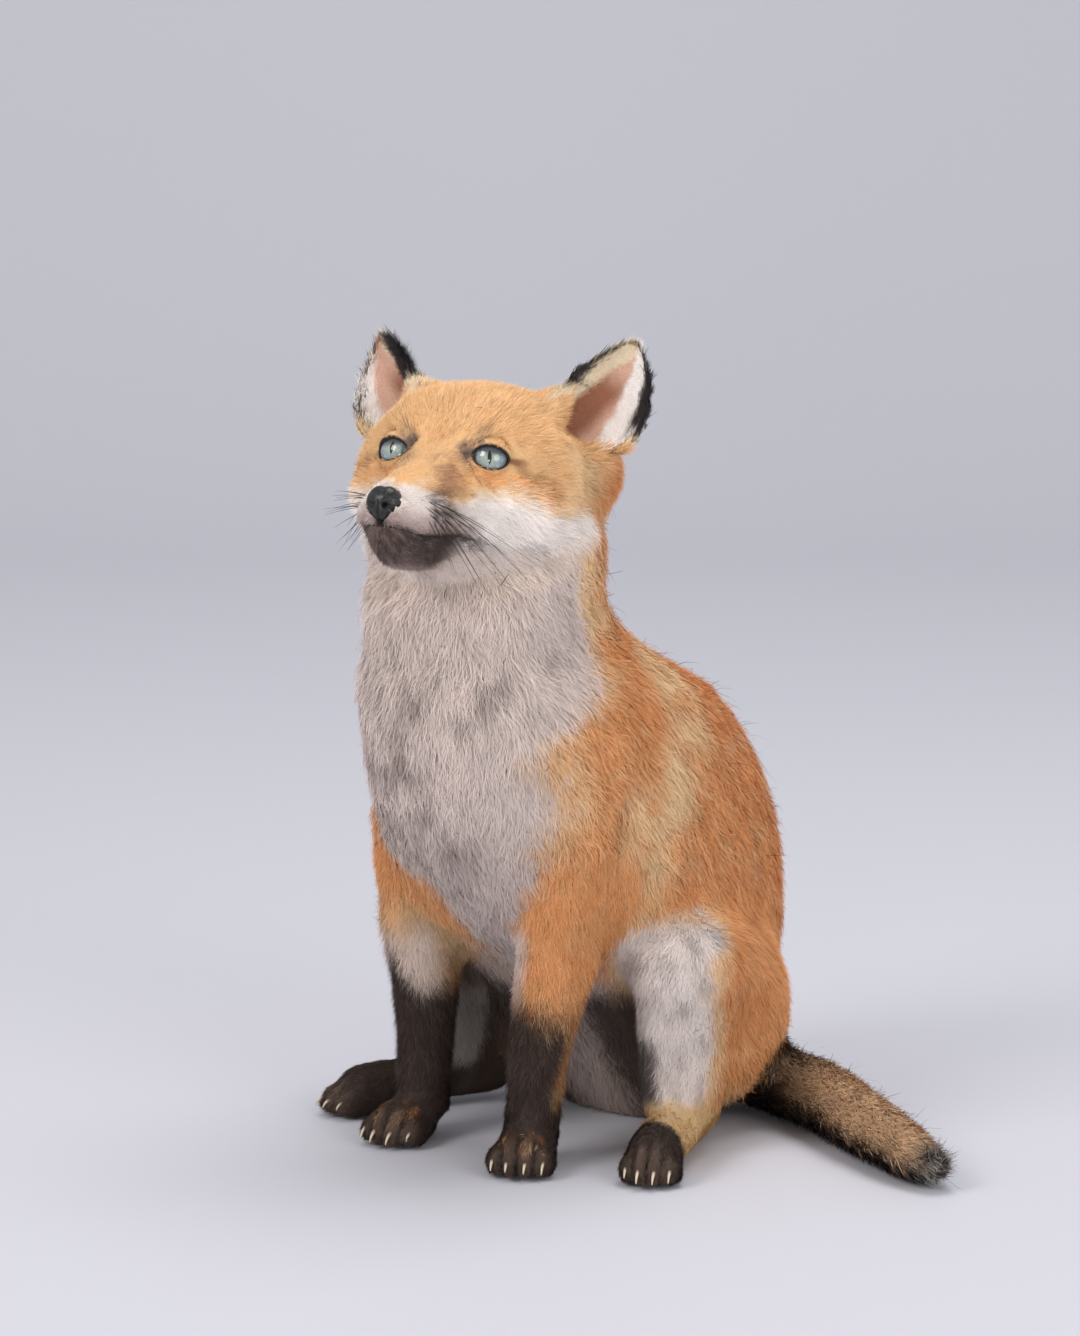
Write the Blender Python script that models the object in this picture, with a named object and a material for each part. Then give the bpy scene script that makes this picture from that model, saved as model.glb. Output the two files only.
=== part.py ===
"""A seated fox cub, a free-standing mounted specimen at life size.

Metres, +Z up. The cub faces -Y and its left side is +X. The rough forms are fused into one body, and
thin cuts part that body into head, jaw, neck, trunk, legs, paws and tail. Ears, eyes, nose pad and
claws are solids of their own, each seated in a pocket that is one gap wider than its root.
"""

import math

import bmesh
import bpy
import numpy as np
from mathutils import Matrix, Vector

# ---- driving sizes ----------------------------------------------------------------------------------
GAP = 0.0003  # clearance between neighbouring pieces
SEAT = (0.0, 0.120)  # middle of the rump's rest, seen from the point between the front paws
RING_SIDES = 32
FUSE_VOXEL = 0.0021
BODY_TRIANGLES = 2700  # over the whole figure, where the trunk, neck, legs and tail are taken from
HEAD_TRIANGLES = 5400  # over the whole figure again, for the head alone
PAW_TRIANGLES = 3700
CUTTER_TRIANGLES = 150
CUTTER_VOXEL = 0.004
BODY_SMOOTHING = 14
PAW_SMOOTHING = 5

# Trunk and neck as level slices: height, front edge, back edge, half width, turn of the slice in degrees
TRUNK_SLICES = [
    (-0.004, 0.100, 0.142, 0.030, 0),
    (0.012, 0.084, 0.152, 0.046, 0),
    (0.040, 0.066, 0.166, 0.057, 0),
    (0.070, 0.040, 0.179, 0.062, 0),
    (0.100, 0.000, 0.187, 0.065, 3),
    (0.125, -0.022, 0.187, 0.066, 5),
    (0.150, -0.036, 0.179, 0.065, 7),
    (0.172, -0.044, 0.163, 0.063, 8),
    (0.190, -0.046, 0.142, 0.060, 8),
    (0.206, -0.044, 0.108, 0.055, 8),
    (0.222, -0.037, 0.081, 0.048, 7),
    (0.240, -0.033, 0.066, 0.047, 6),
    (0.262, -0.024, 0.064, 0.047, 6),
    (0.280, -0.014, 0.058, 0.041, 6),
]
TRUNK_SQUARENESS = 2.35
LEG_SQUARENESS = 2.1

# Head: the middle of the eye line, its turn to the cub's left and its upward tilt
EYE_LINE = Vector((0.0035, -0.0175, 0.301))
HEAD_TURN = math.radians(12.0)
HEAD_TILT = math.radians(8.0)
# Head sections in the head's own frame: forward of the eye line, half width, top, bottom
HEAD_SECTIONS = [
    (-0.078, 0.014, -0.002, -0.024),
    (-0.071, 0.031, 0.013, -0.036),
    (-0.058, 0.0445, 0.0245, -0.045),
    (-0.040, 0.0505, 0.0305, -0.050),
    (-0.025, 0.0515, 0.0305, -0.0510),
    (-0.014, 0.0495, 0.0275, -0.0505),
    (-0.005, 0.0415, 0.0215, -0.0495),
    (0.002, 0.0305, 0.0145, -0.0485),
    (0.009, 0.0232, 0.0070, -0.0480),
    (0.018, 0.0194, 0.0000, -0.0478),
    (0.028, 0.0173, -0.0045, -0.0475),
    (0.038, 0.0150, -0.0085, -0.0462),
    (0.046, 0.0128, -0.0118, -0.0430),
    (0.0505, 0.0098, -0.0150, -0.0380),
    (0.0525, 0.0062, -0.0180, -0.0325),
]
HEAD_SQUARENESS = 2.15
CHEEK = {"centre": (0.0290, 0.0200, -0.0170), "radii": (0.0215, 0.0230, 0.0190)}
RUFF = {"centre": (0.0320, 0.0380, -0.0300), "radii": (0.0225, 0.0280, 0.0215)}
NAPE = {"centre": (0.0280, 0.0570, -0.0040), "radii": (0.0265, 0.0240, 0.0260)}
EAR_BASE = {"centre": (0.0340, 0.0410, 0.0180), "radii": (0.0145, 0.0150, 0.0150)}
LIP_PAD = {"centre": (0.0092, -0.0360, -0.0250), "radii": (0.0088, 0.0130, 0.0085)}
BROW = {"centre": (0.0180, 0.0060, 0.0090), "radii": (0.0120, 0.0090, 0.0060)}
CHIN = {"centre": (0.0, -0.0340, -0.0400), "radii": (0.0105, 0.0130, 0.0073)}

EYE_RADIUS = 0.0086
EYE_SEAT = (0.0208, 0.0030, 0.0002)  # centre of the left eyeball in the head's frame
NOSE = {"centre": (0.0, -0.0474, -0.0200), "radii": (0.0076, 0.0060, 0.0078)}
NOSE_NARROWS = 0.45  # share of its width that the pad loses at its lowest point
MOUTH_CORNER = (-0.0050, -0.0345)  # back and up from the eye line, where the lips meet
MOUTH_SLOPE = math.radians(7.0)

EAR_LENGTH = {"left": 0.0530, "right": 0.0495}
EAR_WALL = 0.0034
EAR_ROOT = Vector((0.0408, 0.0400, 0.0060))  # inside the head, under the middle of the left ear
EAR_UP = Vector((0.377, 0.195, 0.905))
EAR_OPENS = Vector((0.35, -0.92, 0.10))
# Along the ear: share of the length, half width, shift outwards, depth of the cup, how far the rim stands forward
EAR_ROWS = [
    (0.00, 0.0110, 0.0000, 0.0100, 0.0050),
    (0.16, 0.0180, 0.0020, 0.0150, 0.0060),
    (0.34, 0.0203, 0.0018, 0.0150, 0.0055),
    (0.52, 0.0192, 0.0018, 0.0115, 0.0040),
    (0.70, 0.0152, 0.0020, 0.0075, 0.0022),
    (0.85, 0.0100, 0.0016, 0.0040, 0.0008),
    (0.95, 0.0056, 0.0010, 0.0018, 0.0000),
    (1.00, 0.0024, 0.0006, 0.0006, 0.0000),
]

# Legs. A foreleg is level slices: height, sideways, back, half width, half depth
FORELEGS = {
    "left": [
        (0.010, 0.0300, 0.0075, 0.0125, 0.0125),
        (0.030, 0.0310, 0.0085, 0.0130, 0.0130),
        (0.050, 0.0325, 0.0105, 0.0140, 0.0145),
        (0.080, 0.0350, 0.0170, 0.0165, 0.0200),
        (0.100, 0.0370, 0.0225, 0.0185, 0.0250),
        (0.125, 0.0395, 0.0240, 0.0200, 0.0290),
        (0.150, 0.0380, 0.0220, 0.0200, 0.0270),
    ],
    "right": [
        (0.010, -0.0370, 0.0160, 0.0125, 0.0125),
        (0.030, -0.0365, 0.0165, 0.0130, 0.0130),
        (0.050, -0.0360, 0.0170, 0.0138, 0.0145),
        (0.080, -0.0370, 0.0190, 0.0158, 0.0190),
        (0.100, -0.0385, 0.0215, 0.0180, 0.0240),
        (0.125, -0.0400, 0.0230, 0.0200, 0.0280),
        (0.150, -0.0390, 0.0220, 0.0200, 0.0270),
    ],
}
# Paws on the floor: middle of the paw and the way its toes point, in degrees from -Y towards +X
PAWS = {
    "forepaw_left": {"at": (0.0350, -0.0030), "points": 27, "half_width": 0.0165, "length": 0.036},
    "forepaw_right": {"at": (-0.0372, 0.0030), "points": 10, "half_width": 0.0165, "length": 0.036},
    "hindpaw_left": {"at": (0.0850, 0.0210), "points": 27, "half_width": 0.0150, "length": 0.036},
    "hindpaw_right": {"at": (-0.0830, 0.0290), "points": -28, "half_width": 0.0150, "length": 0.036},
}
HIND = {
    "left": {
        "hip": (0.036, 0.116, 0.068),
        "knee": (0.0700, 0.0610, 0.0810),
        "hock": (0.0560, 0.0860, 0.0140),
    },
    "right": {
        "hip": (-0.036, 0.116, 0.068),
        "knee": (-0.0720, 0.0640, 0.0820),
        "hock": (-0.0590, 0.0880, 0.0140),
    },
}
HIP_RADIUS = 0.0365
KNEE_RADIUS = 0.0250
SHIN_TOP_RADIUS = 0.0235
SHIN_RADIUS = 0.0190
SHIN_END = {"share": 0.30, "above": 0.010}  # from the hock towards the toes, and above that line
CALF_RADIUS = 0.0200
HOCK_RADIUS = 0.0135
HAUNCH = {"centre": (0.044, 0.112, 0.052), "radii": (0.0330, 0.0420, 0.0460)}

# Tail: points of its centre line on the floor, and its radius at each
TAIL_LINE = [
    (-0.004, 0.132, 0.034, 0.0150),
    (0.012, 0.146, 0.022, 0.0160),
    (0.036, 0.148, 0.0165, 0.0160),
    (0.064, 0.139, 0.0160, 0.0160),
    (0.094, 0.128, 0.0160, 0.0160),
    (0.122, 0.112, 0.0160, 0.0160),
    (0.148, 0.099, 0.0158, 0.0158),
    (0.170, 0.088, 0.0140, 0.0142),
    (0.187, 0.081, 0.0105, 0.0105),
    (0.198, 0.077, 0.0070, 0.0055),
]

# Blocks that hold a jaw or a hind paw: width, length, height
JAW_BLOCK = (0.080, 0.075, 0.030)
HINDPAW_BLOCK = (0.064, 0.060, 0.045)
HINDPAW_HEEL = (0.0, 0.015, 0.032)

# A paw in its own frame, where -Y is forward. Pads: middle, then half width, half length as shares, half height
PAW_PADS = [
    ((0.0, 0.004, 0.0085), (0.88, 0.42, 0.0115)),
    ((0.0, -0.004, 0.0100), (0.78, 0.36, 0.0105)),
]
TOE_RADII = (0.0057, 0.0095, 0.0078)
TOE_HEIGHT = 0.0062
TOE_INSET = 0.0056  # from the paw's side to the outer toe's middle
TOE_FORWARD = 0.31  # share of the paw's length, for a middle toe
TOE_SET_BACK = 0.13  # the outer toes stand back by this share
TOE_SPREAD = (-1.0, -0.36, 0.36, 1.0)
INSTEP_HEIGHT = 0.0125
SOLE_HEIGHT = 0.010

CLAW_LENGTH = 0.0088
CLAW_RADIUS = 0.00135
CLAW_TIP_RADIUS = 0.00018
CLAW_ROOT = Vector((0.0, -0.0052, 0.0022))  # from the toe's middle
CLAW_BEND = (10, 55)  # degrees at the root, and more at the tip

# Cuts between the pieces: a point of the plane, and the plane's tilt forwards or the way its side faces
NAPE_CUT = ((0.0, 0.016, 0.266), math.radians(20))
SHOULDER_CUT = ((0.0, 0.020, 0.212), math.radians(16))
WRIST_HEIGHT = 0.0245
TAIL_TIP_CUT = ((0.166, 0.080, 0.0), (0.80, -0.60, 0.0))
TAIL_MIDDLE_CUT = ((0.100, 0.125, 0.0), (0.86, -0.51, 0.0))
TAIL_ROOT_CUT = ((0.0, 0.150, 0.020), (-0.6, -0.8, 0.25))
TAIL_CUT_MARGIN = 0.006
# The hull that parts a hind leg from the trunk: radii, each wider than the limb inside it
HIND_CUT_INNER = (0.018, 0.004, -0.004)  # the hip end is moved inwards by this
HIND_CUT = {"knee": 0.035, "hock": 0.024, "heel": 0.022, "shin": 0.026, "toes": 0.027}
HIND_CUT_TOES = (0.030, 0.030, 0.024)
FORELEG_CUT_MARGIN = 0.004
FORELEG_CUT_ELBOW = (0.026, 0.033, 0.018)
FORELEG_CUT_TOES = (0.024, 0.030, 0.022)
FORELEG_CUT_WRIST = 0.018

COLOURS = {
    "orange": ((0.62, 0.25, 0.07), 0.85),
    "white": ((0.72, 0.67, 0.63), 0.85),
    "black": ((0.035, 0.028, 0.025), 0.80),
    "tawny": ((0.40, 0.28, 0.16), 0.85),
    "glass": ((0.35, 0.42, 0.42), 0.05),
    "nose": ((0.012, 0.012, 0.013), 0.35),
    "horn": ((0.62, 0.52, 0.36), 0.35),
}
# By the first word of a piece's name; every other piece is orange
NODE_COLOURS = {
    "claw": "horn",
    "eye": "glass",
    "nose": "nose",
    "forepaw": "black",
    "hindpaw": "black",
    "lower": "black",
    "neck": "white",
    "tail": "tawny",
}


# ---- mesh helpers -----------------------------------------------------------------------------------
def smooth_rows(rows, between=3):
    """The rows with more of them in between, on Catmull-Rom curves through every column."""
    rows = np.array(rows, float)
    padded = np.vstack([2 * rows[0] - rows[1], rows, 2 * rows[-1] - rows[-2]])
    made = []
    for i in range(len(rows) - 1):
        a, b, c, d = padded[i : i + 4]
        for k in range(between):
            t = k / between
            square, cube = 2 * a - 5 * b + 4 * c - d, 3 * b - a - 3 * c + d
            made.append((2 * b + (c - a) * t + square * t**2 + cube * t**3) / 2)
    made.append(rows[-1])
    return np.array(made)


def super_ellipse(half_width, half_height, squareness, sides=RING_SIDES):
    angle = np.linspace(0, 2 * math.pi, sides, endpoint=False)
    c, s = np.cos(angle), np.sin(angle)
    return (
        half_width * np.sign(c) * np.abs(c) ** (2 / squareness),
        half_height * np.sign(s) * np.abs(s) ** (2 / squareness),
    )


def mesh_from(vertices, faces, name="form"):
    mesh = bpy.data.meshes.new(name)
    mesh.from_pydata([tuple(v) for v in vertices], [], faces)
    bm = bmesh.new()
    bm.from_mesh(mesh)
    bmesh.ops.recalc_face_normals(bm, faces=bm.faces)
    bm.to_mesh(mesh)
    bm.free()
    return mesh


def loft(rings):
    """A closed form through rings of equal length, with a flat cap on each end."""
    sides, vertices = len(rings[0]), np.concatenate(rings)
    faces = [
        (
            i * sides + k,
            i * sides + (k + 1) % sides,
            (i + 1) * sides + (k + 1) % sides,
            (i + 1) * sides + k,
        )
        for i in range(len(rings) - 1)
        for k in range(sides)
    ]
    faces.append(tuple(range(sides)))
    faces.append(tuple(range(len(vertices) - sides, len(vertices))))
    return mesh_from(vertices, faces)


def ball(centre, radii, turn=0.0, detail=3):
    """An ellipsoid, turned about Z."""
    bm = bmesh.new()
    bmesh.ops.create_icosphere(bm, subdivisions=detail, radius=1.0)
    place = Matrix.Translation(centre) @ Matrix.Rotation(turn, 4, "Z") @ Matrix.Diagonal((*radii, 1))
    bmesh.ops.transform(bm, matrix=place, verts=bm.verts)
    mesh = bpy.data.meshes.new("ball")
    bm.to_mesh(mesh)
    bm.free()
    return mesh


def capsule(a, radius_a, b, radius_b):
    """The hull of two spheres."""
    bm = bmesh.new()
    for at, radius in ((a, radius_a), (b, radius_b)):
        bmesh.ops.create_icosphere(bm, subdivisions=2, radius=radius, matrix=Matrix.Translation(at))
    hull = bmesh.ops.convex_hull(bm, input=bm.verts)
    loose = [v for v in hull["geom_interior"] if isinstance(v, bmesh.types.BMVert)]
    bmesh.ops.delete(bm, geom=loose, context="VERTS")
    bmesh.ops.recalc_face_normals(bm, faces=bm.faces)
    mesh = bpy.data.meshes.new("capsule")
    bm.to_mesh(mesh)
    bm.free()
    return mesh


def slab(point, normal, size=0.6):
    """A large box whose one face lies on the plane, and which fills the side that the normal points to."""
    bm = bmesh.new()
    bmesh.ops.create_cube(bm, size=size)
    normal = Vector(normal).normalized()
    turn = normal.to_track_quat("Z", "Y").to_matrix().to_4x4()
    place = Matrix.Translation(Vector(point) + normal * size / 2) @ turn
    bmesh.ops.transform(bm, matrix=place, verts=bm.verts)
    mesh = bpy.data.meshes.new("slab")
    bm.to_mesh(mesh)
    bm.free()
    return mesh


def block(size, place):
    """A box whose back upper edge is centred on the place's origin, and which runs forward and down from it."""
    bm = bmesh.new()
    bmesh.ops.create_cube(bm, size=1.0)
    width, length, height = size
    box = Matrix.Translation((0, -length / 2, -height / 2)) @ Matrix.Diagonal((width, length, height, 1))
    bmesh.ops.transform(bm, matrix=place @ box, verts=bm.verts)
    mesh = bpy.data.meshes.new("block")
    bm.to_mesh(mesh)
    bm.free()
    return mesh


def moved(mesh, matrix):
    mesh = mesh.copy()
    mesh.transform(matrix)
    if matrix.is_negative:
        mesh.flip_normals()
    return mesh


def mirrored(mesh):
    return moved(mesh, Matrix.Diagonal((-1, 1, 1, 1)))


def grown(mesh, by=GAP):
    """The form with every face moved out by the same distance."""
    bm = bmesh.new()
    bm.from_mesh(mesh)
    bm.normal_update()
    steps = [v.normal * by * min(v.calc_shell_factor(), 1.8) for v in bm.verts]
    for v, step in zip(bm.verts, steps):
        v.co += step
    out = bpy.data.meshes.new("grown")
    bm.to_mesh(out)
    bm.free()
    return out


def evaluated(mesh, *modifiers):
    """The mesh after a stack of modifiers, each given as its type and its settings."""
    holder = bpy.data.objects.new("holder", mesh)
    bpy.context.scene.collection.objects.link(holder)
    for kind, settings in modifiers:
        modifier = holder.modifiers.new(kind, kind)
        for name, value in settings.items():
            setattr(modifier, name, value)
    graph = bpy.context.evaluated_depsgraph_get()
    made = bpy.data.meshes.new_from_object(holder.evaluated_get(graph))
    bpy.data.objects.remove(holder)
    return made


def boolean(mesh, tool, operation):
    helper = bpy.data.objects.new("tool", tool)
    helper.hide_render = True
    helper.display_type = "WIRE"
    bpy.context.scene.collection.objects.link(helper)
    made = evaluated(mesh, ("BOOLEAN", {"operation": operation, "object": helper, "solver": "EXACT"}))
    bpy.data.objects.remove(helper)
    return largest_body(made)


def largest_body(mesh):
    """The mesh with only its largest connected body, so that a cut leaves no crumbs."""
    bm = bmesh.new()
    bm.from_mesh(mesh)
    bmesh.ops.triangulate(bm, faces=bm.faces)
    bmesh.ops.remove_doubles(bm, verts=bm.verts, dist=2e-6)
    left, bodies = set(bm.verts), []
    while left:
        queue, body = [left.pop()], []
        while queue:
            vertex = queue.pop()
            body.append(vertex)
            for edge in vertex.link_edges:
                other = edge.other_vert(vertex)
                if other in left:
                    left.remove(other)
                    queue.append(other)
        bodies.append(body)
    bodies.sort(key=len)
    for body in bodies[:-1]:
        bmesh.ops.delete(bm, geom=body, context="VERTS")
    out = bpy.data.meshes.new("body")
    bm.to_mesh(out)
    bm.free()
    return out


def fuse(forms, rounds, voxel=FUSE_VOXEL):
    """One smooth closed form from overlapping ones."""
    bm = bmesh.new()
    for form in forms:
        bm.from_mesh(form)
    joined = bpy.data.meshes.new("joined")
    bm.to_mesh(joined)
    bm.free()
    fine = evaluated(
        joined,
        ("REMESH", {"mode": "VOXEL", "voxel_size": voxel}),
        ("SMOOTH", {"factor": 0.5, "iterations": rounds}),
    )
    return largest_body(fine)


def thinned(fine, triangles):
    """The same form with about so many triangles."""
    ratio = min(1.0, triangles / len(fine.polygons))
    return largest_body(evaluated(fine, ("DECIMATE", {"ratio": ratio, "use_collapse_triangulate": True})))


def flattened_at_floor(mesh):
    """Everything below the floor is cut away, which leaves flat rests at one level."""
    return boolean(mesh, slab((0, 0, 0), (0, 0, -1)), "DIFFERENCE")


# ---- the rough forms --------------------------------------------------------------------------------
def head_place():
    return (
        Matrix.Translation(EYE_LINE)
        @ Matrix.Rotation(HEAD_TURN, 4, "Z")
        @ Matrix.Rotation(-HEAD_TILT, 4, "X")
    )


def level_ring(height, x, y, half_width, half_depth, turn=0.0, squareness=LEG_SQUARENESS):
    across, along = super_ellipse(half_width, half_depth, squareness)
    c, s = math.cos(turn), math.sin(turn)
    level = np.full(len(across), height)
    return np.column_stack([x + across * c - along * s, y + across * s + along * c, level])


def trunk_form():
    rings = []
    for height, front, back, half_width, turn in smooth_rows(TRUNK_SLICES):
        middle, half_depth = (front + back) / 2, (back - front) / 2
        rings.append(level_ring(height, 0, middle, half_width, half_depth, math.radians(turn), TRUNK_SQUARENESS))
    return loft(rings)


def foreleg_form(rows, extra=0.0):
    slices = smooth_rows(rows)
    return loft([level_ring(z, x, y, across + extra, along + extra) for z, x, y, across, along in slices])


def head_form():
    rings = []
    for forward, half_width, top, bottom in smooth_rows(HEAD_SECTIONS):
        across, up = super_ellipse(half_width, (top - bottom) / 2, HEAD_SQUARENESS)
        rings.append(np.column_stack([across, np.full(len(across), -forward), up + (top + bottom) / 2]))
    return loft(rings)


def both_sides(form):
    return [form, mirrored(form)]


def head_forms():
    forms = [head_form(), ball(**CHIN)]
    for bump in (CHEEK, RUFF, NAPE, EAR_BASE, LIP_PAD, BROW):
        forms += both_sides(ball(**bump))
    return [moved(form, head_place()) for form in forms]


def toe_places(paw):
    """Each toe's middle in the paw's own frame, where -Y is forward."""
    for spread in TOE_SPREAD:
        forward = paw["length"] * (TOE_FORWARD - TOE_SET_BACK * spread**2)
        yield Vector((spread * (paw["half_width"] - TOE_INSET), -forward, TOE_HEIGHT))


def paw_place(paw):
    return Matrix.Translation((*paw["at"], 0)) @ Matrix.Rotation(math.radians(paw["points"]), 4, "Z")


def paw_forms(paw):
    half_width, length = paw["half_width"], paw["length"]
    forms = [ball(at, (half_width * w, length * d, high)) for at, (w, d, high) in PAW_PADS]
    forms += [ball(toe, TOE_RADII) for toe in toe_places(paw)]
    return [moved(form, paw_place(paw)) for form in forms]


def hind_forms(side):
    joints, sign = HIND[side], 1 if side == "left" else -1
    paw = PAWS[f"hindpaw_{side}"]
    toes = (*paw["at"], INSTEP_HEIGHT)
    shin_end = Vector(joints["hock"]).lerp(Vector(toes), SHIN_END["share"]) + Vector((0, 0, SHIN_END["above"]))
    centre = (sign * HAUNCH["centre"][0], *HAUNCH["centre"][1:])
    return [
        ball(centre, HAUNCH["radii"]),
        capsule(joints["hip"], HIP_RADIUS, joints["knee"], KNEE_RADIUS),
        capsule(joints["knee"], SHIN_TOP_RADIUS, shin_end, SHIN_RADIUS),
        capsule(joints["knee"], CALF_RADIUS, joints["hock"], HOCK_RADIUS),
        capsule(joints["hock"], HOCK_RADIUS, toes, INSTEP_HEIGHT),
    ]


def tail_form(extra=0.0):
    rows = smooth_rows(TAIL_LINE)
    points, radii = rows[:, :3], rows[:, 3] + extra
    along = np.gradient(points, axis=0)
    along /= np.linalg.norm(along, axis=1)[:, None]
    side = np.cross(along, (0, 0, 1))
    side /= np.linalg.norm(side, axis=1)[:, None]
    up = np.cross(side, along)
    angle = np.linspace(0, 2 * math.pi, 20, endpoint=False)
    rings = [
        p + r * (np.cos(angle)[:, None] * s + np.sin(angle)[:, None] * u)
        for p, r, s, u in zip(points, radii, side, up)
    ]
    return loft(rings)


def body_forms():
    forms = [trunk_form(), tail_form()]
    forms += head_forms()
    for rows in FORELEGS.values():
        forms.append(foreleg_form(rows))
    for paw in PAWS.values():
        forms += paw_forms(paw)
    for side in HIND:
        forms += hind_forms(side)
    return forms


# ---- pieces that sit in pockets -----------------------------------------------------------------------
def ear_form(length):
    """A cupped leaf through its rows: across each row the middle lies back from the rim by the cup's depth."""
    up = EAR_UP.normalized()
    face = (EAR_OPENS - up * EAR_OPENS.dot(up)).normalized()
    across = up.cross(face)
    if across.x < 0:
        across = -across
    up, face, across, root = (np.array(v) for v in (up, face, across, EAR_ROOT))
    angle = np.linspace(0, 2 * math.pi, 18, endpoint=False)
    side, wall = np.cos(angle), np.sin(angle)
    wall = np.sign(wall) * np.abs(wall) ** 0.7 * EAR_WALL / 2
    rings = []
    for share, half, shift, cup, stands in smooth_rows(EAR_ROWS, between=1):
        back = stands - cup * (1 - np.abs(side) ** 2.2)
        rings.append(
            root
            + up * (length * share)
            + np.outer(side * half + shift, across)
            + np.outer(back + wall * (1.2 - 0.5 * share), face)
        )
    return loft(rings)


def eye_form():
    return ball(EYE_SEAT, (EYE_RADIUS,) * 3, detail=2)


def nose_form():
    """The nose pad: a rounded pad, narrower below."""
    pad = ball(**NOSE, detail=2)
    for v in pad.vertices:
        below = max(0.0, NOSE["centre"][2] - v.co.z) / NOSE["radii"][2]
        v.co.x *= 1 - NOSE_NARROWS * below
    return pad


def claw_form(toe):
    """A tapering quarter hook from inside the toe, forward and down to just above the floor."""
    start, steps, sides = toe + CLAW_ROOT, 4, 5
    rings = []
    for i in range(steps):
        s = i / (steps - 1)
        bend = math.radians(CLAW_BEND[0] + CLAW_BEND[1] * s)
        forward = CLAW_LENGTH * math.sin(1.25 * s) / 1.25
        down = CLAW_LENGTH * (1 - math.cos(1.15 * s)) * 0.95
        radius = CLAW_RADIUS * (1 - s) ** 0.7 + CLAW_TIP_RADIUS
        ring = []
        for k in range(sides):
            c, u = math.cos(2 * math.pi * k / sides), math.sin(2 * math.pi * k / sides)
            ring.append(start + Vector((c, -u * math.sin(bend), u * math.cos(bend))) * radius)
        rings.append(np.array(ring) - (0, forward, down))
    return loft(rings)


def jaw_form():
    """The block under the mouth line, from the mouth's corners forward."""
    place = Matrix.Translation((0, *MOUTH_CORNER)) @ Matrix.Rotation(-MOUTH_SLOPE, 4, "X")
    return block(JAW_BLOCK, place)


# ---- nodes ------------------------------------------------------------------------------------------
def material(name):
    found = bpy.data.materials.get(name)
    if found:
        return found
    colour, roughness = COLOURS[name]
    made = bpy.data.materials.new(name)
    made.use_nodes = True
    shader = made.node_tree.nodes["Principled BSDF"]
    shader.inputs["Base Color"].default_value = (*colour, 1)
    shader.inputs["Roughness"].default_value = roughness
    shader.inputs["Metallic"].default_value = 0.0
    return made


def add_node(name, mesh, colour, parent):
    mesh.name = name
    mesh.materials.clear()
    mesh.materials.append(material(colour))
    mesh.shade_smooth()
    obj = bpy.data.objects.new(name, mesh)
    obj.parent = parent
    bpy.context.scene.collection.objects.link(obj)
    return obj


def take(body, cutter):
    """(the share of the body inside the cutter, the rest of the body), one gap apart."""
    return boolean(body, cutter, "INTERSECT"), boolean(body, grown(cutter), "DIFFERENCE")


def hind_cutter(side):
    joints, sign = HIND[side], 1 if side == "left" else -1
    hip, knee, hock = (Vector(joints[name]) for name in ("hip", "knee", "hock"))
    across, back, up = HIND_CUT_INNER
    inner = Vector((sign * across, back, up))
    sole = Vector((*PAWS[f"hindpaw_{side}"]["at"], SOLE_HEIGHT))
    forms = [
        capsule(hip + inner, HIP_RADIUS * 0.9, knee + inner * 0.3, HIND_CUT["knee"]),
        capsule(knee, HIND_CUT["knee"], hock, HIND_CUT["hock"]),
        capsule(knee, HIND_CUT["knee"], sole, HIND_CUT["shin"]),
        capsule(hock, HIND_CUT["hock"], sole, HIND_CUT["toes"]),
        capsule(hip + inner, HIP_RADIUS * 0.8, hock, HIND_CUT["heel"]),
        ball(sole, HIND_CUT_TOES),
    ]
    return thinned(fuse(forms, rounds=4, voxel=CUTTER_VOXEL), CUTTER_TRIANGLES)


def foreleg_cutter(side):
    rows, sign = FORELEGS[side], 1 if side == "left" else -1
    height, x, y = rows[-2][:3]
    wrist = Vector((*rows[0][1:3], 0))
    forms = [
        foreleg_form(rows[:-1], extra=FORELEG_CUT_MARGIN),
        ball((x + sign * FORELEG_CUT_MARGIN, y, height), FORELEG_CUT_ELBOW),
        ball((*PAWS[f"forepaw_{side}"]["at"], SOLE_HEIGHT), FORELEG_CUT_TOES),
        capsule(wrist, FORELEG_CUT_WRIST, wrist + Vector((0, 0, 2 * SOLE_HEIGHT)), FORELEG_CUT_WRIST),
    ]
    return thinned(fuse(forms, rounds=4, voxel=CUTTER_VOXEL), CUTTER_TRIANGLES)


def tail_cutter():
    """The tail's own tube, a little wider, from where it leaves the rump."""
    tube = thinned(fuse([tail_form(extra=TAIL_CUT_MARGIN)], rounds=2, voxel=CUTTER_VOXEL), CUTTER_TRIANGLES)
    return boolean(tube, slab(*TAIL_ROOT_CUT), "DIFFERENCE")


def tilted_slab(point, tilt):
    """All that lies above a plane which dips towards the front by the tilt."""
    return slab(point, (0, -math.sin(tilt), math.cos(tilt)))


def paw_cutter(name):
    """What lies in front of the ankle or wrist belongs to the paw."""
    paw = PAWS[name]
    if name.startswith("fore"):
        return slab((0, 0, WRIST_HEIGHT), (0, 0, -1))
    return block(HINDPAW_BLOCK, paw_place(paw) @ Matrix.Translation(HINDPAW_HEEL))


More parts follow.
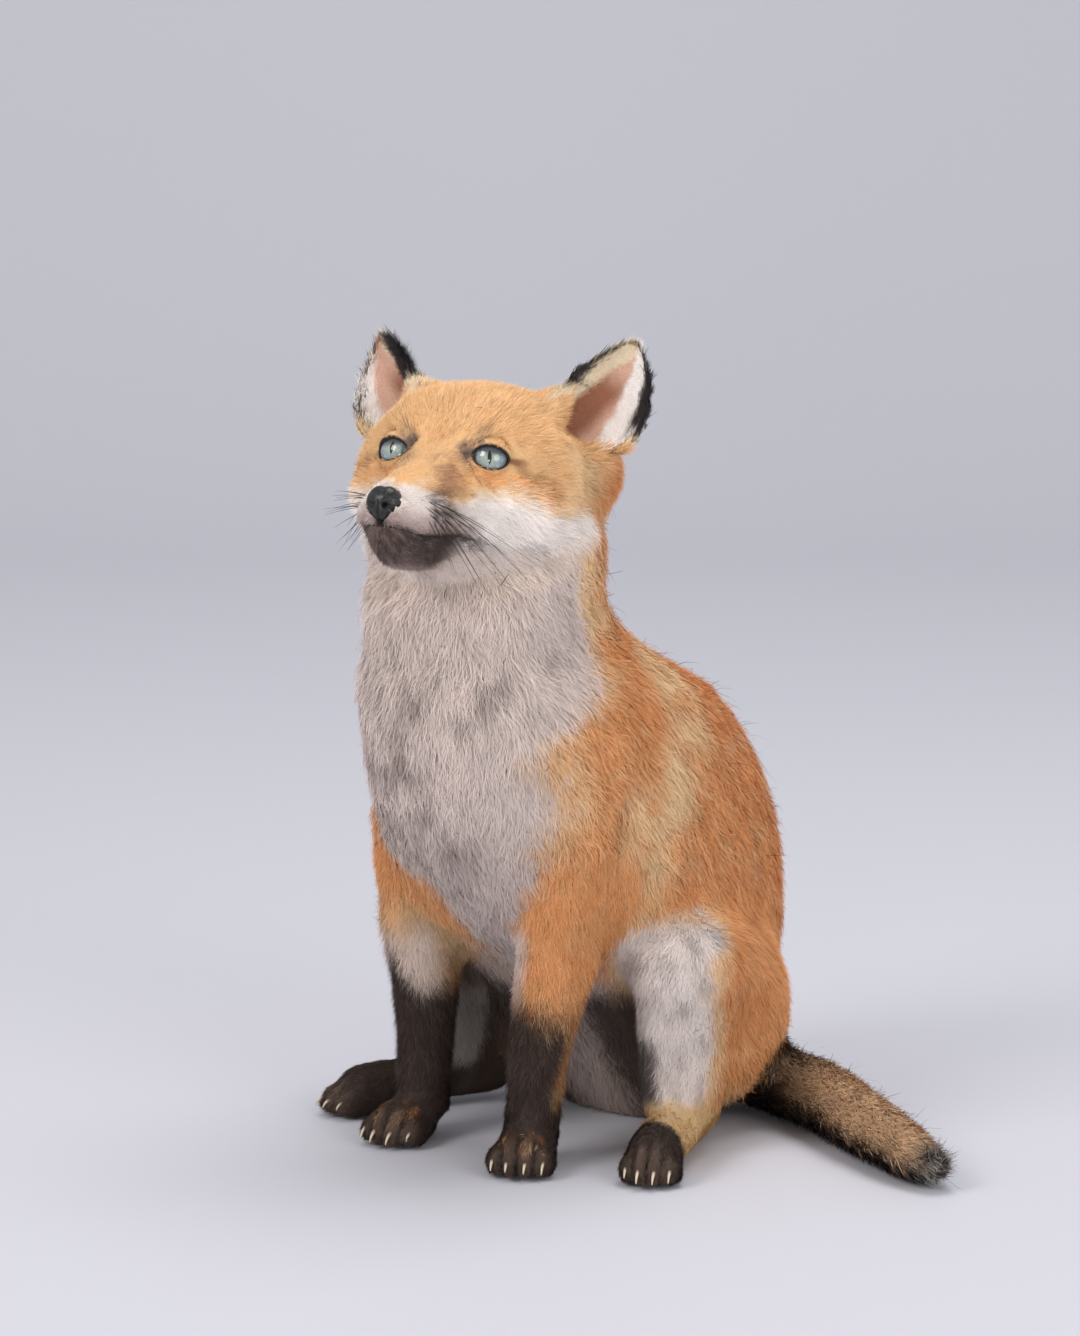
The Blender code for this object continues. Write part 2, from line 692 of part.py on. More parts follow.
def build():
    for obj in list(bpy.data.objects):
        bpy.data.objects.remove(obj)
    figure = bpy.data.objects.new("figure", None)
    figure.location = (-SEAT[0], -SEAT[1], 0)
    bpy.context.scene.collection.objects.link(figure)
    pieces = {}

    figure_form = fuse(body_forms(), BODY_SMOOTHING)
    body = flattened_at_floor(thinned(figure_form, BODY_TRIANGLES))
    paws = flattened_at_floor(thinned(fuse(body_forms(), PAW_SMOOTHING), PAW_TRIANGLES))

    nape = tilted_slab(*NAPE_CUT)
    head = boolean(thinned(figure_form, HEAD_TRIANGLES), nape, "INTERSECT")
    body = boolean(body, grown(nape), "DIFFERENCE")
    tail, body = take(body, tail_cutter())
    cutters = {f"foreleg_{side}": foreleg_cutter(side) for side in FORELEGS}
    cutters.update({f"hindleg_{side}": hind_cutter(side) for side in HIND})
    for leg_name, cutter in cutters.items():
        leg, body = take(body, cutter)
        paw_name = leg_name.replace("leg", "paw")
        ankle = paw_cutter(paw_name)
        pieces[leg_name] = boolean(leg, grown(ankle), "DIFFERENCE")
        paw = boolean(boolean(paws, cutter, "INTERSECT"), ankle, "INTERSECT")
        for i, toe in enumerate(toe_places(PAWS[paw_name])):
            claw = moved(claw_form(toe), paw_place(PAWS[paw_name]))
            paw = boolean(paw, grown(claw), "DIFFERENCE")
            pieces[f"claw_{paw_name}_{i + 1}"] = claw
        pieces[paw_name] = paw
    neck, trunk = take(body, tilted_slab(*SHOULDER_CUT))
    pieces["tail_tip"], rest = take(tail, slab(*TAIL_TIP_CUT))
    pieces["tail_middle"], pieces["tail_root"] = take(rest, slab(*TAIL_MIDDLE_CUT))

    place = head_place()
    nose = moved(nose_form(), place)
    head = boolean(head, grown(nose), "DIFFERENCE")
    for side, length in EAR_LENGTH.items():
        for kind, form in (("ear", ear_form(length)), ("eye", eye_form())):
            form = moved(form if side == "left" else mirrored(form), place)
            head = boolean(head, grown(form), "DIFFERENCE")
            pieces[f"{kind}_{side}"] = form
    jaw, head = take(head, moved(jaw_form(), place))
    pieces.update(head=head, lower_jaw=jaw, nose_pad=nose, neck=neck, trunk=trunk)

    for name, mesh in pieces.items():
        add_node(name, mesh, NODE_COLOURS.get(name.split("_")[0], "orange"), figure)


build()
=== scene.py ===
import math
import bpy
import numpy as np
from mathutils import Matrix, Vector
from mathutils.bvhtree import BVHTree


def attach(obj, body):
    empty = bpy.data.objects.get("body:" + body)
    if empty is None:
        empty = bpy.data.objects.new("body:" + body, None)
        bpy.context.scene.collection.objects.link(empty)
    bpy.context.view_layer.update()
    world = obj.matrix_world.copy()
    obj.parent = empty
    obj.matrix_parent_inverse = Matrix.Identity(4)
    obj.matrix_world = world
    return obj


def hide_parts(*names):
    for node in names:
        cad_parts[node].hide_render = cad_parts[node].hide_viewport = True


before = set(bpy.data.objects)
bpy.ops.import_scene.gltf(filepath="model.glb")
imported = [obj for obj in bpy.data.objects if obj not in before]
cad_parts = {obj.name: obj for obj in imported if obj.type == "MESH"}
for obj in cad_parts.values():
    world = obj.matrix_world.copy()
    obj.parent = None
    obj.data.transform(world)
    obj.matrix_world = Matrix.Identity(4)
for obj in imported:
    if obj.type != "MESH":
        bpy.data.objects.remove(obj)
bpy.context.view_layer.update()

chance = np.random.default_rng(20)
density = 1.0


def rgb(red, green, blue):
    # screen values 0-255 to linear light: ((v / 255 + 0.055) / 1.055) ^ 2.4
    return ((np.array([red, green, blue]) / 255 + 0.055) / 1.055) ** 2.4


palette = {
    "orange": rgb(230, 161, 103),
    "faceOrange": rgb(228, 182, 130),
    "backOrange": rgb(206, 122, 62),
    "rust": rgb(240, 166, 104),
    "straw": rgb(245, 215, 168),
    "cream": rgb(240, 222, 190),
    "bib": rgb(225, 209, 201),
    "bibShade": rgb(132, 116, 111),
    "cheek": rgb(254, 246, 240),
    "lip": rgb(176, 150, 142),
    "smudge": rgb(146, 106, 82),
    "chin": rgb(48, 36, 32),
    # black-brown of the socks and feet; also painted shade between the legs and inside the right hind leg
    "dark": rgb(58, 46, 41),
    "toeRust": rgb(150, 96, 58),
    "shin": rgb(240, 229, 223),
    "hock": rgb(220, 186, 136),
    "buff": rgb(222, 184, 146),
    # near black of the tail and the guard hairs; also painted shade in the toe clefts
    "tailDark": rgb(38, 31, 28),
    "paleTip": rgb(206, 203, 196),
    "tailBase": rgb(92, 70, 54),
    "earBack": rgb(48, 42, 44),
    "earPink": rgb(228, 182, 158),
    "earHollow": rgb(150, 96, 70),
    # brown hair round the inner corners of the eyes; also painted shade there and under the brow
    "innerEye": rgb(116, 98, 90),
    # dark brown of the leg band, the line from the eye and stray dark hairs; also painted shade in the arm
    # folds and inside the right foreleg
    "crease": rgb(122, 74, 44),
    "ticks": rgb(112, 92, 80),
    "lidSkin": rgb(52, 45, 46),
}

# places on the cub: the head's own frame, and the lines that its limbs follow
headSpot = np.array([0.0035, -0.1375, 0.301])
headTurnDegrees, headTiltDegrees = 12.0, 8.0
eyeSpot = np.array([0.0208, 0.0030, 0.0002])
eyeRadius = 0.0086
eyeSides = 72  # points round each ring of an eyeball and of its lids
flips = {"left": np.array([1.0, 1, 1]), "right": np.array([-1.0, 1, 1])}  # what turns the left side to each
noseSpot = np.array([0.0, -0.0474, -0.0200])
noseSize = np.array([0.0076, 0.0060, 0.0078])
mouthLine = {  # height of the lips against the distance behind the eye line
    "back": (-0.0520, -0.0480, -0.0400, -0.0280, -0.0165, -0.0050, 0.0066),
    "height": (-0.0272, -0.0292, -0.0320, -0.0322, -0.0314, -0.0331, -0.0356),
}
ear = {
    "root": np.array([0.0408, 0.0400, 0.0060]),
    "up": np.array([0.377, 0.195, 0.905]),
    "opens": np.array([0.35, -0.92, 0.10]),
    "length": {"left": 0.0530, "right": 0.0495},
    "share": (0.0, 0.16, 0.34, 0.52, 0.70, 0.85, 0.95, 1.0),
    "half": (0.011, 0.018, 0.0203, 0.0192, 0.0152, 0.010, 0.0056, 0.0024),
    "cup": (0.010, 0.015, 0.015, 0.0115, 0.0075, 0.004, 0.0018, 0.0006),
    "forward": (0.005, 0.006, 0.0055, 0.004, 0.0022, 0.0008, 0.0, 0.0),
    "shift": (0.0, 0.002, 0.0018, 0.0018, 0.002, 0.0016, 0.001, 0.0006),
}
trunk = {
    "height": (0.0, 0.012, 0.040, 0.070, 0.100, 0.125, 0.150,
               0.172, 0.190, 0.206, 0.222, 0.240, 0.262, 0.280),
    "front": (-0.024, -0.036, -0.054, -0.080, -0.120, -0.142, -0.156,
              -0.164, -0.166, -0.164, -0.157, -0.153, -0.144, -0.134),
    "back": (0.024, 0.032, 0.046, 0.059, 0.067, 0.067, 0.059,
             0.043, 0.022, -0.012, -0.039, -0.054, -0.056, -0.062),
    "half": (0.034, 0.046, 0.057, 0.062, 0.065, 0.066, 0.065,
             0.063, 0.060, 0.055, 0.048, 0.047, 0.047, 0.041),
    "bibAngle": (10, 10, 12, 12, 22, 36, 47, 53, 52, 80, 92, 91, 86, 84),
}
limbs = {  # points (x, y, z) of each middle line with its radius
    "forelegLeft": [(0.030, -0.1125, 0.010, 0.0125), (0.031, -0.1115, 0.030, 0.013),
                    (0.0325, -0.1095, 0.050, 0.0142), (0.035, -0.103, 0.080, 0.018),
                    (0.037, -0.0975, 0.100, 0.0215), (0.0395, -0.096, 0.125, 0.0245)],
    "forelegRight": [(-0.037, -0.104, 0.010, 0.0125), (-0.0365, -0.1035, 0.030, 0.013),
                     (-0.036, -0.103, 0.050, 0.0142), (-0.037, -0.101, 0.080, 0.0175),
                     (-0.0385, -0.0985, 0.100, 0.021), (-0.040, -0.097, 0.125, 0.024)],
    "forepawLeft": [(0.030, -0.1125, 0.010, 0.013), (0.035, -0.123, 0.010, 0.0145),
                    (0.0415, -0.1335, 0.008, 0.0125)],
    "forepawRight": [(-0.037, -0.104, 0.010, 0.013), (-0.0372, -0.117, 0.010, 0.0145),
                     (-0.035, -0.1295, 0.008, 0.0125)],
    "thighLeft": [(0.036, -0.004, 0.068, 0.0365), (0.070, -0.059, 0.081, 0.025)],
    "thighRight": [(-0.036, -0.004, 0.068, 0.0365), (-0.072, -0.056, 0.082, 0.025)],
    "shinLeft": [(0.070, -0.059, 0.081, 0.025), (0.0647, -0.0537, 0.024, 0.019)],
    "shinRight": [(-0.072, -0.056, 0.082, 0.025), (-0.0662, -0.0497, 0.024, 0.019)],
    "footLeft": [(0.056, -0.034, 0.014, 0.0135), (0.085, -0.099, 0.0105, 0.0135),
                 (0.0915, -0.1105, 0.008, 0.012)],
    "footRight": [(-0.059, -0.032, 0.014, 0.0135), (-0.083, -0.091, 0.0105, 0.0135),
                  (-0.0895, -0.1025, 0.008, 0.012)],
    "tail": [(-0.004, 0.012, 0.034, 0.015), (0.012, 0.026, 0.022, 0.016), (0.036, 0.028, 0.0165, 0.016),
             (0.064, 0.019, 0.016, 0.016), (0.094, 0.008, 0.016, 0.016), (0.122, -0.008, 0.016, 0.016),
             (0.148, -0.021, 0.0158, 0.0158), (0.170, -0.032, 0.014, 0.0142), (0.187, -0.039, 0.0105, 0.0105),
             (0.198, -0.043, 0.007, 0.0055)],
}

armCrease = [  # the fold between each foreleg and the flank
    (0.0655, -0.0936, 0.156), (0.064, -0.094, 0.141), (0.0626, -0.0937, 0.1287),
    (0.059, -0.092, 0.113), (0.054, -0.088, 0.099), (0.046, -0.080, 0.084),
]
paws = {  # middle of each paw on the floor, the way its toes point in degrees, half width
    "forepaw_left": (0.0350, -0.1230, 27, 0.0165),
    "forepaw_right": (-0.0372, -0.1170, 10, 0.0165),
    "hindpaw_left": (0.0850, -0.0990, 27, 0.0150),
    "hindpaw_right": (-0.0830, -0.0910, -28, 0.0150),
}
toeInset = 0.0056  # from the edge of a paw to the middle of its outer toe
# places across a paw, of half its width
toeShares, cleftShares = (-1.0, -0.36, 0.36, 1.0), (-0.68, 0.0, 0.68)


# small number helpers
def edge(x, low, high):
    # 0 below low, 1 above high, 3t^2 - 2t^3 between; low may be the larger
    t = np.clip((x - low) / (high - low), 0, 1)
    return t * t * (3 - 2 * t)


def unit(vectors):
    # each row divided by its length
    return vectors / np.maximum(np.linalg.norm(vectors, axis=-1, keepdims=True), 1e-9)


def dots(a, b):
    # the scalar product of each pair of rows
    return (a * b).sum(axis=-1)


def folded(p):
    # each place with its left or right distance made positive, as if the right half lay on the left
    return np.abs(p) * [1, 0, 0] + p * [0, 1, 1]


def blend(share, a, b):
    # (1 - share) a + share b, for rows or for single numbers
    share = share[:, None] if np.ndim(a) == 2 or np.ndim(b) == 2 or np.ndim(b) == 1 and len(b) == 3 else share
    return (1 - share) * a + share * b


def turnMatrix(axis, degrees):
    # the 3 x 3 turn about one axis
    c, s = math.cos(math.radians(degrees)), math.sin(math.radians(degrees))
    return np.array({"x": [[1, 0, 0], [0, c, -s], [0, s, c]], "z": [[c, -s, 0], [s, c, 0], [0, 0, 1]]}[axis])


headAxes = turnMatrix("z", headTurnDegrees) @ turnMatrix("x", -headTiltDegrees)


def toHead(p):
    # places of the world in the head's frame: x to the cub's left, -y to the nose, z up
    return (p - headSpot) @ headAxes


def fromHead(h):
    return h @ headAxes.T + headSpot


def inPaw(p, name):
    # places in a paw's own frame: x across it, -y the way its toes point, z up
    x, y, heading, half = paws[name]
    return (p - [x, y, 0]) @ turnMatrix("z", heading)


def fromPaw(local, name):
    x, y, heading, half = paws[name]
    return local @ turnMatrix("z", heading).T + [x, y, 0]


def acrossPaw(shares, name):
    # the middle lines of toes or clefts, measured sideways from the middle of the paw
    return np.array(shares) * (paws[name][3] - toeInset)


def wobble(p, size, seed):
    # soft noise about -1 to 1: a mean of sines along random directions, with waves about the given size long
    waves = np.random.default_rng(seed)
    directions = unit(waves.normal(size=(9, 3))) * (2 * math.pi / size) * waves.uniform(0.6, 1.6, (9, 1))
    return np.sin(p @ directions.T + waves.uniform(0, 2 * math.pi, 9)).sum(axis=1) / 4.0


def alongLine(p, line):
    # nearest place on a broken line: (distance beyond its radius, share of the way, direction there)
    line = np.array(line)
    best, share, way = np.full(len(p), 9.0), np.zeros(len(p)), np.zeros((len(p), 3))
    for i in range(len(line) - 1):
        a, b = line[i], line[i + 1]
        step = b[:3] - a[:3]
        t = np.clip((p - a[:3]) @ step / (step @ step), 0, 1)
        gap = np.linalg.norm(p - a[:3] - t[:, None] * step, axis=1) - (a[3] + t * (b[3] - a[3]))
        near = gap < best
        best = np.where(near, gap, best)
        share = np.where(near, (i + t) / (len(line) - 1), share)
        way[near] = unit(step)
    return best, share, way


def earPlace(h, side):
    # from places in the head: share up the ear, -1..1 across it with 1 outwards, distance in front of its
    # sheet, and the ear's own three directions
    flip = flips[side]
    up = unit(ear["up"])
    faces = unit(ear["opens"] - up * (ear["opens"] @ up))
    across = np.cross(up, faces)
    across *= np.sign(across[0])
    rel = h * flip - ear["root"]
    share = rel @ up / ear["length"][side]
    half, cup, forward, shift = (
        np.interp(share, ear["share"], ear[k]) for k in ("half", "cup", "forward", "shift"))
    width = (rel @ across - shift) / half
    sheet = forward - cup * (1 - np.clip(np.abs(width), 0, 1) ** 2.2)
    return share, width, rel @ faces - sheet, faces * flip, up * flip, across * flip


def conchShare(share, width):
    # 1 in the ear's open hollow, down to a low edge that rises outwards
    low = np.interp(width, (-0.6, 0.0, 0.5, 0.9), (0.06, 0.05, 0.10, 0.20))
    inside = edge(share - low, -0.02, 0.03) * edge(width, -0.76, -0.64)
    return inside * edge(width, 0.98, 0.90) * edge(share, 1.05, 0.98)


def zones(p, n):
    # how much each place belongs to each part of the cub, from 0 to 1; also the places in the head, the
    # height above the lips, and the share of the way and the direction along each limb
    h = toHead(p)
    x, y, z = p.T
    zone = {"h": h}
    lean = math.radians(20)  # the neck's end, seen from the side
    nape = (p - [0, -0.104, 0.266]) @ np.array([0, -math.sin(lean), math.cos(lean)])
    zone["head"] = edge(nape, -0.006, 0.006)
    zone["neck"] = edge(z, 0.196, 0.228) * (1 - zone["head"])
    zone["muzzle"] = zone["head"] * edge(-h[:, 1], 0.002, 0.020)
    mouth = np.interp(h[:, 1], mouthLine["back"], mouthLine["height"])
    zone["mouth"] = h[:, 2] - mouth
    zone["jaw"] = zone["head"] * edge(-h[:, 1], -0.004, 0.010) * edge(zone["mouth"], 0.0006, -0.0006)
    zone["ear"] = np.zeros(len(p))
    for side in flips:
        share, width, front, faces, up, across = earPlace(h, side)
        near = (np.abs(front) < 0.0045) & (np.abs(width) < 1.25) & (share < 1.12)
        mine = np.maximum(edge(share, 0.20, 0.34), conchShare(share, width)) * near
        opens = edge(front, -0.0013, -0.0005) * edge(dots(n, faces @ headAxes.T), -0.6, -0.1)
        zone["ear" + side] = (mine, share, width, opens, up @ headAxes.T, across @ headAxes.T)
        zone["ear"] = np.maximum(zone["ear"], mine)
    below = edge(z, 0.150, 0.125)
    for name, line in limbs.items():
        gap, share, way = alongLine(p, line)
        reach = 0.006 if name == "tail" else 0.004
        zone[name] = edge(gap, reach + 0.004, reach - 0.002) * (below if name.startswith("foreleg") else 1)
        zone[name + "Share"], zone[name + "Way"] = share, way
    zone["tail"] *= edge(x + y * 0.8, 0.040, 0.062)
    for part in ("foreleg", "forepaw", "thigh", "shin", "foot"):
        zone[part] = np.maximum(zone[part + "Left"], zone[part + "Right"])
    half, front, back, bib = (
        np.interp(z, trunk["height"], trunk[k]) for k in ("half", "front", "back", "bibAngle"))
    around = np.degrees(np.arctan2(np.abs(x) / half, -(y - (front + back) / 2) / ((back - front) / 2)))
    # degrees inside the bib's edge, whose point leans to the left
    zone["bibGap"] = bib - around - 30 * edge(-x, -0.002, 0.004) * edge(z, 0.143, 0.124)
    return zone


def nearLine(p, points, radius):
    # 1 on a broken line, falling to 0 at the radius
    gap = alongLine(p, [(*q, 0.0) for q in points])[0]
    return edge(gap, radius, radius * 0.25)


def markingsAndShade(p, n, zone):
    # the coat's colour at each place, painted zone over zone, with painted shade in folds, toe clefts,
    # between the legs and round the eyes; x, y, z: the place; hx, hy, hz: the place in the head; nx, ny, nz:
    # the way the skin faces
    h, mouth, muzzle, jaw, foreleg, forepaw, foot = (
        zone[k] for k in ("h", "mouth", "muzzle", "jaw", "foreleg", "forepaw", "foot"))
    (x, y, z), (hx, hy, hz), (nx, ny, nz) = p.T, h.T, n.T
    mirrored, face, outward = folded(p), folded(h), nx * np.sign(x)
    rough, soft = wobble(p, 0.010, 3), wobble(p, 0.028, 4)
    colour = np.tile(palette["orange"], (len(p), 1))

    def paint(name, mask):
        colour[:] = blend(np.clip(mask, 0, 1), colour, palette[name])

    paint("backOrange", edge(ny + 0.25 * soft, -0.25, 0.7) * edge(z, 0.03, 0.09) * 0.9)
    paint("straw", 0.35 * edge(soft + 0.6 * rough, 0.3, 1.2))
    flank = [(0.0446, -0.046, 0.207), (0.051, -0.044, 0.197), (0.0585, -0.043, 0.181),
             (0.0647, -0.061, 0.161), (0.066, -0.079, 0.144), (0.0643, -0.082, 0.1245),
             (0.060, -0.083, 0.106)]
    paint("straw", 0.88 * nearLine(mirrored, flank, 0.025) * edge(rough + soft, -1.8, 0.6))
    # painted shade along the fold between each foreleg and the flank
    paint("crease", 0.75 * nearLine(mirrored, armCrease, 0.0075) * edge(rough, -1.8, 0.2))
    paint("straw", 0.75 * edge(z, 0.216, 0.238) * edge(ny, 0.75, 0.1) * edge(rough + soft, -2.2, 0.2))
    bibGap = zone["bibGap"] + 3 * rough + 3 * soft
    paint("straw", 0.55 * edge(bibGap, -16, 0) * edge(z, 0.12, 0.16))
    bib = edge(bibGap, -4, 6)
    paint("bib", bib)
    streak = edge(zone["bibGap"], 12, 34) * edge(z, 0.10, 0.14) * edge(z, 0.236, 0.21)
    paint("bibShade", 0.62 * bib * streak * edge(wobble(p * (1, 1, 0.5), 0.011, 5) + 0.5 * soft, -0.2, 1.0))
    paint("bibShade", 0.22 * bib * edge(z, 0.165, 0.135))
    groin = edge(z, 0.105, 0.080) * edge(ny, 0.05, -0.35) * edge(np.abs(x), 0.046, 0.034)
    paint("bib", 0.85 * groin)

    left, right = x > 0, x < 0
    ragged = z + 0.003 * rough  # the height, torn a little

    # forelegs: orange outside, pale inside and in front above the dark, with orange down the outer back edge;
    # the right one's inner side has painted shade instead of pale
    inner = edge(outward, 0.05, -0.45)
    paint("orange", foreleg * (1 - bib))
    paint("bib", 0.85 * foreleg * inner * left)
    # painted shade on the inner side of the right foreleg
    paint("crease", 0.6 * foreleg * inner * right)
    patch = edge(ny, 0.2, -0.5) * edge(x, -0.021, -0.028) * edge(ragged, 0.102, 0.089)
    paint("straw", 0.5 * foreleg * right * edge(z, 0.118, 0.098) * edge(ny, 0.3, -0.3))
    paint("bib", 0.8 * foreleg * patch)
    slant = 0.011 * edge(x, -0.028, -0.043)
    slant = slant - 0.006 * edge(nx, 0.0, 0.8) * left
    dark = edge(z + 0.0022 * rough + 0.001 * soft - slant, 0.079, 0.065)
    paint("crease", 0.6 * foreleg * edge(z + 0.0022 * rough - slant, 0.086, 0.072) * left)
    strip = edge(n @ unit(np.array([0.6, 0.8, 0.0])), 0.35, 0.75) * edge(z, 0.024, 0.040) * left
    paint("dark", foreleg * dark * (1 - 0.8 * strip))
    paint("dark", forepaw * edge(z, 0.05, 0.04))

    # hind legs: orange thigh, white knee and shin, cream heel, dark foot; painted shade between the legs and
    # on the right leg's inner side
    hind = np.clip(zone["thigh"] + zone["shin"] + foot, 0, 1)
    paint("orange", hind * edge(outward, -0.4, 0.1))
    paint("backOrange", 0.35 * zone["thigh"] * edge(soft, 0, 1))
    bound = np.interp(z, (0.02, 0.042, 0.056, 0.076, 0.090, 0.098, 0.105),
                      (-0.061, -0.056, -0.058, -0.066, -0.064, -0.046, -0.039))
    front = edge(y + 0.003 * rough - bound, 0.004, -0.005)
    pale = hind * front * edge(z + 0.004 * soft, 0.110, 0.098) * edge(np.abs(x), 0.040, 0.050)
    paint("straw", 0.7 * hind * edge(y + 0.003 * rough - bound, 0.016, 0.0) * edge(z, 0.112, 0.10)
          * (1 - inner))
    paint("shin", pale)
    paint("bibShade", 0.5 * pale * edge(wobble(p * (1, 1, 0.5), 0.009, 6), 0.0, 1.0))
    # painted shade in the hollow between the legs: greyer in the middle, dark to either side
    between = edge(z + 0.004 * rough, 0.080, 0.062) * edge(np.abs(x), 0.054, 0.042) * edge(y, -0.080, -0.066)
    between = between * edge(y, 0.022, 0.004)
    between = between * (1 - foreleg) * (1 - forepaw) * (1 - zone["tail"])
    paint("bibShade", 0.5 * between)
    paint("dark", 0.86 * between * edge(np.abs(x - 0.002) + 0.003 * rough, 0.011, 0.021))
    legs = np.clip(zone["shin"] + foot, 0, 1)
    shade = edge(ragged, 0.058, 0.048) * edge(outward, 0.10, -0.30)
    paint("dark", 0.85 * legs * shade * edge(z, 0.022, 0.028))
    # painted shade on the inner side of the right hind leg
    paint("dark", 0.85 * hind * edge(-x, 0.0, 0.01) * edge(nx, -0.45, 0.05) * edge(ragged, 0.100, 0.080))
    pale = hind * edge(x + 0.002 * rough, -0.044, -0.049) * edge(y, -0.046, -0.052)
    paint("shin", 0.35 * pale * edge(ragged, 0.070, 0.055))
    low = edge(z + 0.002 * rough, 0.030, 0.022)
    paint("hock", foot * low * left)
    paint("dark", 0.9 * foot * low * right)
    heel = np.where(left, -0.083, -0.052)
    paint("dark", foot * low * edge(y + 0.002 * rough + 0.35 * (z - 0.012) - heel, 0.0, -0.006))
    for name in ("forepaw_left", "forepaw_right"):
        for across in (-0.45, 0.25, 0.8):
            streak = [[across * 0.012, -0.003, 0.0165], [across * 0.013, -0.016, 0.0130],
                      [across * 0.0135, -0.022, 0.008]]
            streak = fromPaw(np.array(streak), name)
            paint("toeRust", 0.75 * forepaw * nearLine(p, streak, 0.0036) * edge(rough, -0.8, 0.5))

    for name in paws:
        local = inPaw(p, name)
        toes = np.min(np.abs(local[:, :1] - acrossPaw(toeShares, name)), axis=1)
        ahead = local[:, 1]
        toes = edge(toes, 0.0034, 0.0012) * edge(ahead, -0.006, -0.012) * edge(ahead, -0.032, -0.026)
        paw = np.clip(forepaw + foot, 0, 1) * edge(z, 0.030, 0.022)
        paint("ticks", 0.55 * paw * toes)
        # painted shade in the clefts between the toes
        gaps = np.min(np.abs(local[:, :1] - acrossPaw(cleftShares, name)), axis=1)
        paint("tailDark", 0.9 * paw * edge(gaps, 0.0016, 0.0005) * edge(ahead, -0.006, -0.012))

    # tail: dark root and underside, buff above, dark tip with pale hairs
    tail, far = zone["tail"], zone["tailShare"]
    paint("tailDark", tail)
    above = edge(nz - 0.30 * ny + 0.18 * rough, 0.10, 0.55)
    paint("tailBase", 0.9 * tail * edge(nz - 0.30 * ny, -0.25, 0.25) * edge(far, 0.92, 0.80))
    paint("buff", 0.92 * tail * above * edge(far, 0.24, 0.50) * edge(far + 0.03 * rough, 0.84, 0.75))
    paint("tailBase", 0.4 * tail * above * edge(rough + 0.6 * soft, 0.1, 1.2))
    paint("tailBase", 0.40 * tail * above * edge(far, 0.52, 0.32))

    # head
    head = zone["head"] * (1 - zone["ear"])
    paint("faceOrange", head)
    paint("rust", head * 0.35 * edge(soft + rough, 0.2, 1.4))
    paint("backOrange", head * 0.75 * edge(hy + 0.006 * soft - 0.5 * (hz - 0.01), 0.030, 0.068))
    under = [(0.0159, -0.0175, -0.0092), (0.0199, -0.0097, -0.0069), (0.027, -0.0035, -0.0082),
             (0.0369, 0.0013, -0.0094), (0.045, 0.0064, -0.0142)]
    paint("rust", head * 0.42 * nearLine(face, under, 0.0075))
    temple = [(0.0488, 0.0247, 0.0028), (0.0505, 0.0327, -0.0042), (0.051, 0.0267, -0.0117),
              (0.0499, 0.0171, -0.0165)]
    paint("straw", head * 0.6 * nearLine(face, temple, 0.013))
    whiteEdge = [(-0.050, -0.0130), (-0.0415, -0.0120), (-0.0323, -0.0125), (-0.0234, -0.0180),
                 (-0.0157, -0.0184), (-0.0067, -0.0134), (-0.0017, -0.0131), (0.0021, -0.0152),
                 (0.0102, -0.0190), (0.0216, -0.0192), (0.0356, -0.0176), (0.045, -0.0240)]
    line = np.interp(hy, *zip(*whiteEdge))  # height of the white's upper edge against the distance back
    white = head * edge(hz - line + 0.0016 * rough, 0.0018, -0.0022) * edge(hy, 0.050, 0.036)
    paint("straw", head * 0.7 * edge(hz - line + 0.0016 * rough, 0.0062, 0.0) * edge(np.abs(hx), 0.014, 0.022)
          * edge(hy, 0.050, 0.036))
    paint("cheek", white)
    paint("lip", 0.36 * white * muzzle)
    paint("bib", head * edge(hz + 0.0022 * rough, -0.032, -0.039) * edge(hy, 0.045, 0.030))
    paint("bibShade", 0.45 * white * edge(hy, 0.000, 0.016)
          * edge(wobble(h * (1, 0.5, 1), 0.008, 9), 0.1, 0.9))
    fold = [(0.0351, 0.0041, -0.0323), (0.0388, 0.0093, -0.0347), (0.0428, 0.0140, -0.0381),
            (0.046, 0.0182, -0.0415)]
    paint("bibShade", 0.7 * nearLine(face, fold, 0.0045) * zone["head"])
    broken = edge(rough + 0.6 * wobble(h, 0.005, 11), -1.4, 0.8)
    smudge = [(0.0107, -0.0165, -0.0022), (0.0146, -0.0182, -0.0074), (0.0165, -0.0220, -0.0138),
              (0.0165, -0.0260, -0.0175)]
    paint("smudge", head * 0.80 * nearLine(face, smudge, 0.0105) * broken)
    pad = [(0.0162, -0.0285, -0.0184), (0.0170, -0.0300, -0.0229), (0.0179, -0.0246, -0.0273),
           (0.0192, -0.0151, -0.0308)]
    streaks = edge(wobble(h * (0.6, 0.35, 1.6), 0.0042, 14), -0.7, 0.5)
    paint("chin", head * 0.82 * nearLine(face, pad, 0.0115) * streaks)
    paint("lip", head * 0.75 * muzzle * edge(mouth, 0.012, 0.002) * edge(mouth, -0.001, 0.0))
    lips = edge(np.abs(mouth + 0.0006 * rough), 0.0030, 0.0006)
    paint("chin", head * lips * edge(hy, 0.006, -0.006) * 0.85)
    paint("chin", jaw * edge(hy + 0.003 * rough, -0.008, -0.024)
          * (0.95 - 0.30 * edge(n @ headAxes[:, 2], -0.75, -0.95)))
    paint("lip", 0.4 * jaw * edge(mouth, -0.008, -0.003) * edge(hy, -0.045, -0.051) * edge(rough, -1.0, 0.6))
    fine = wobble(h, 0.0032, 15)
    paint("smudge", 0.22 * jaw * edge(fine, 0.1, 0.9))
    groove = edge(np.abs(hx), 0.0013, 0.0004) * edge(hy, -0.044, -0.048) * edge(hz, -0.037, -0.034)
    paint("chin", head * 0.9 * groove * edge(hz, -0.023, -0.026))
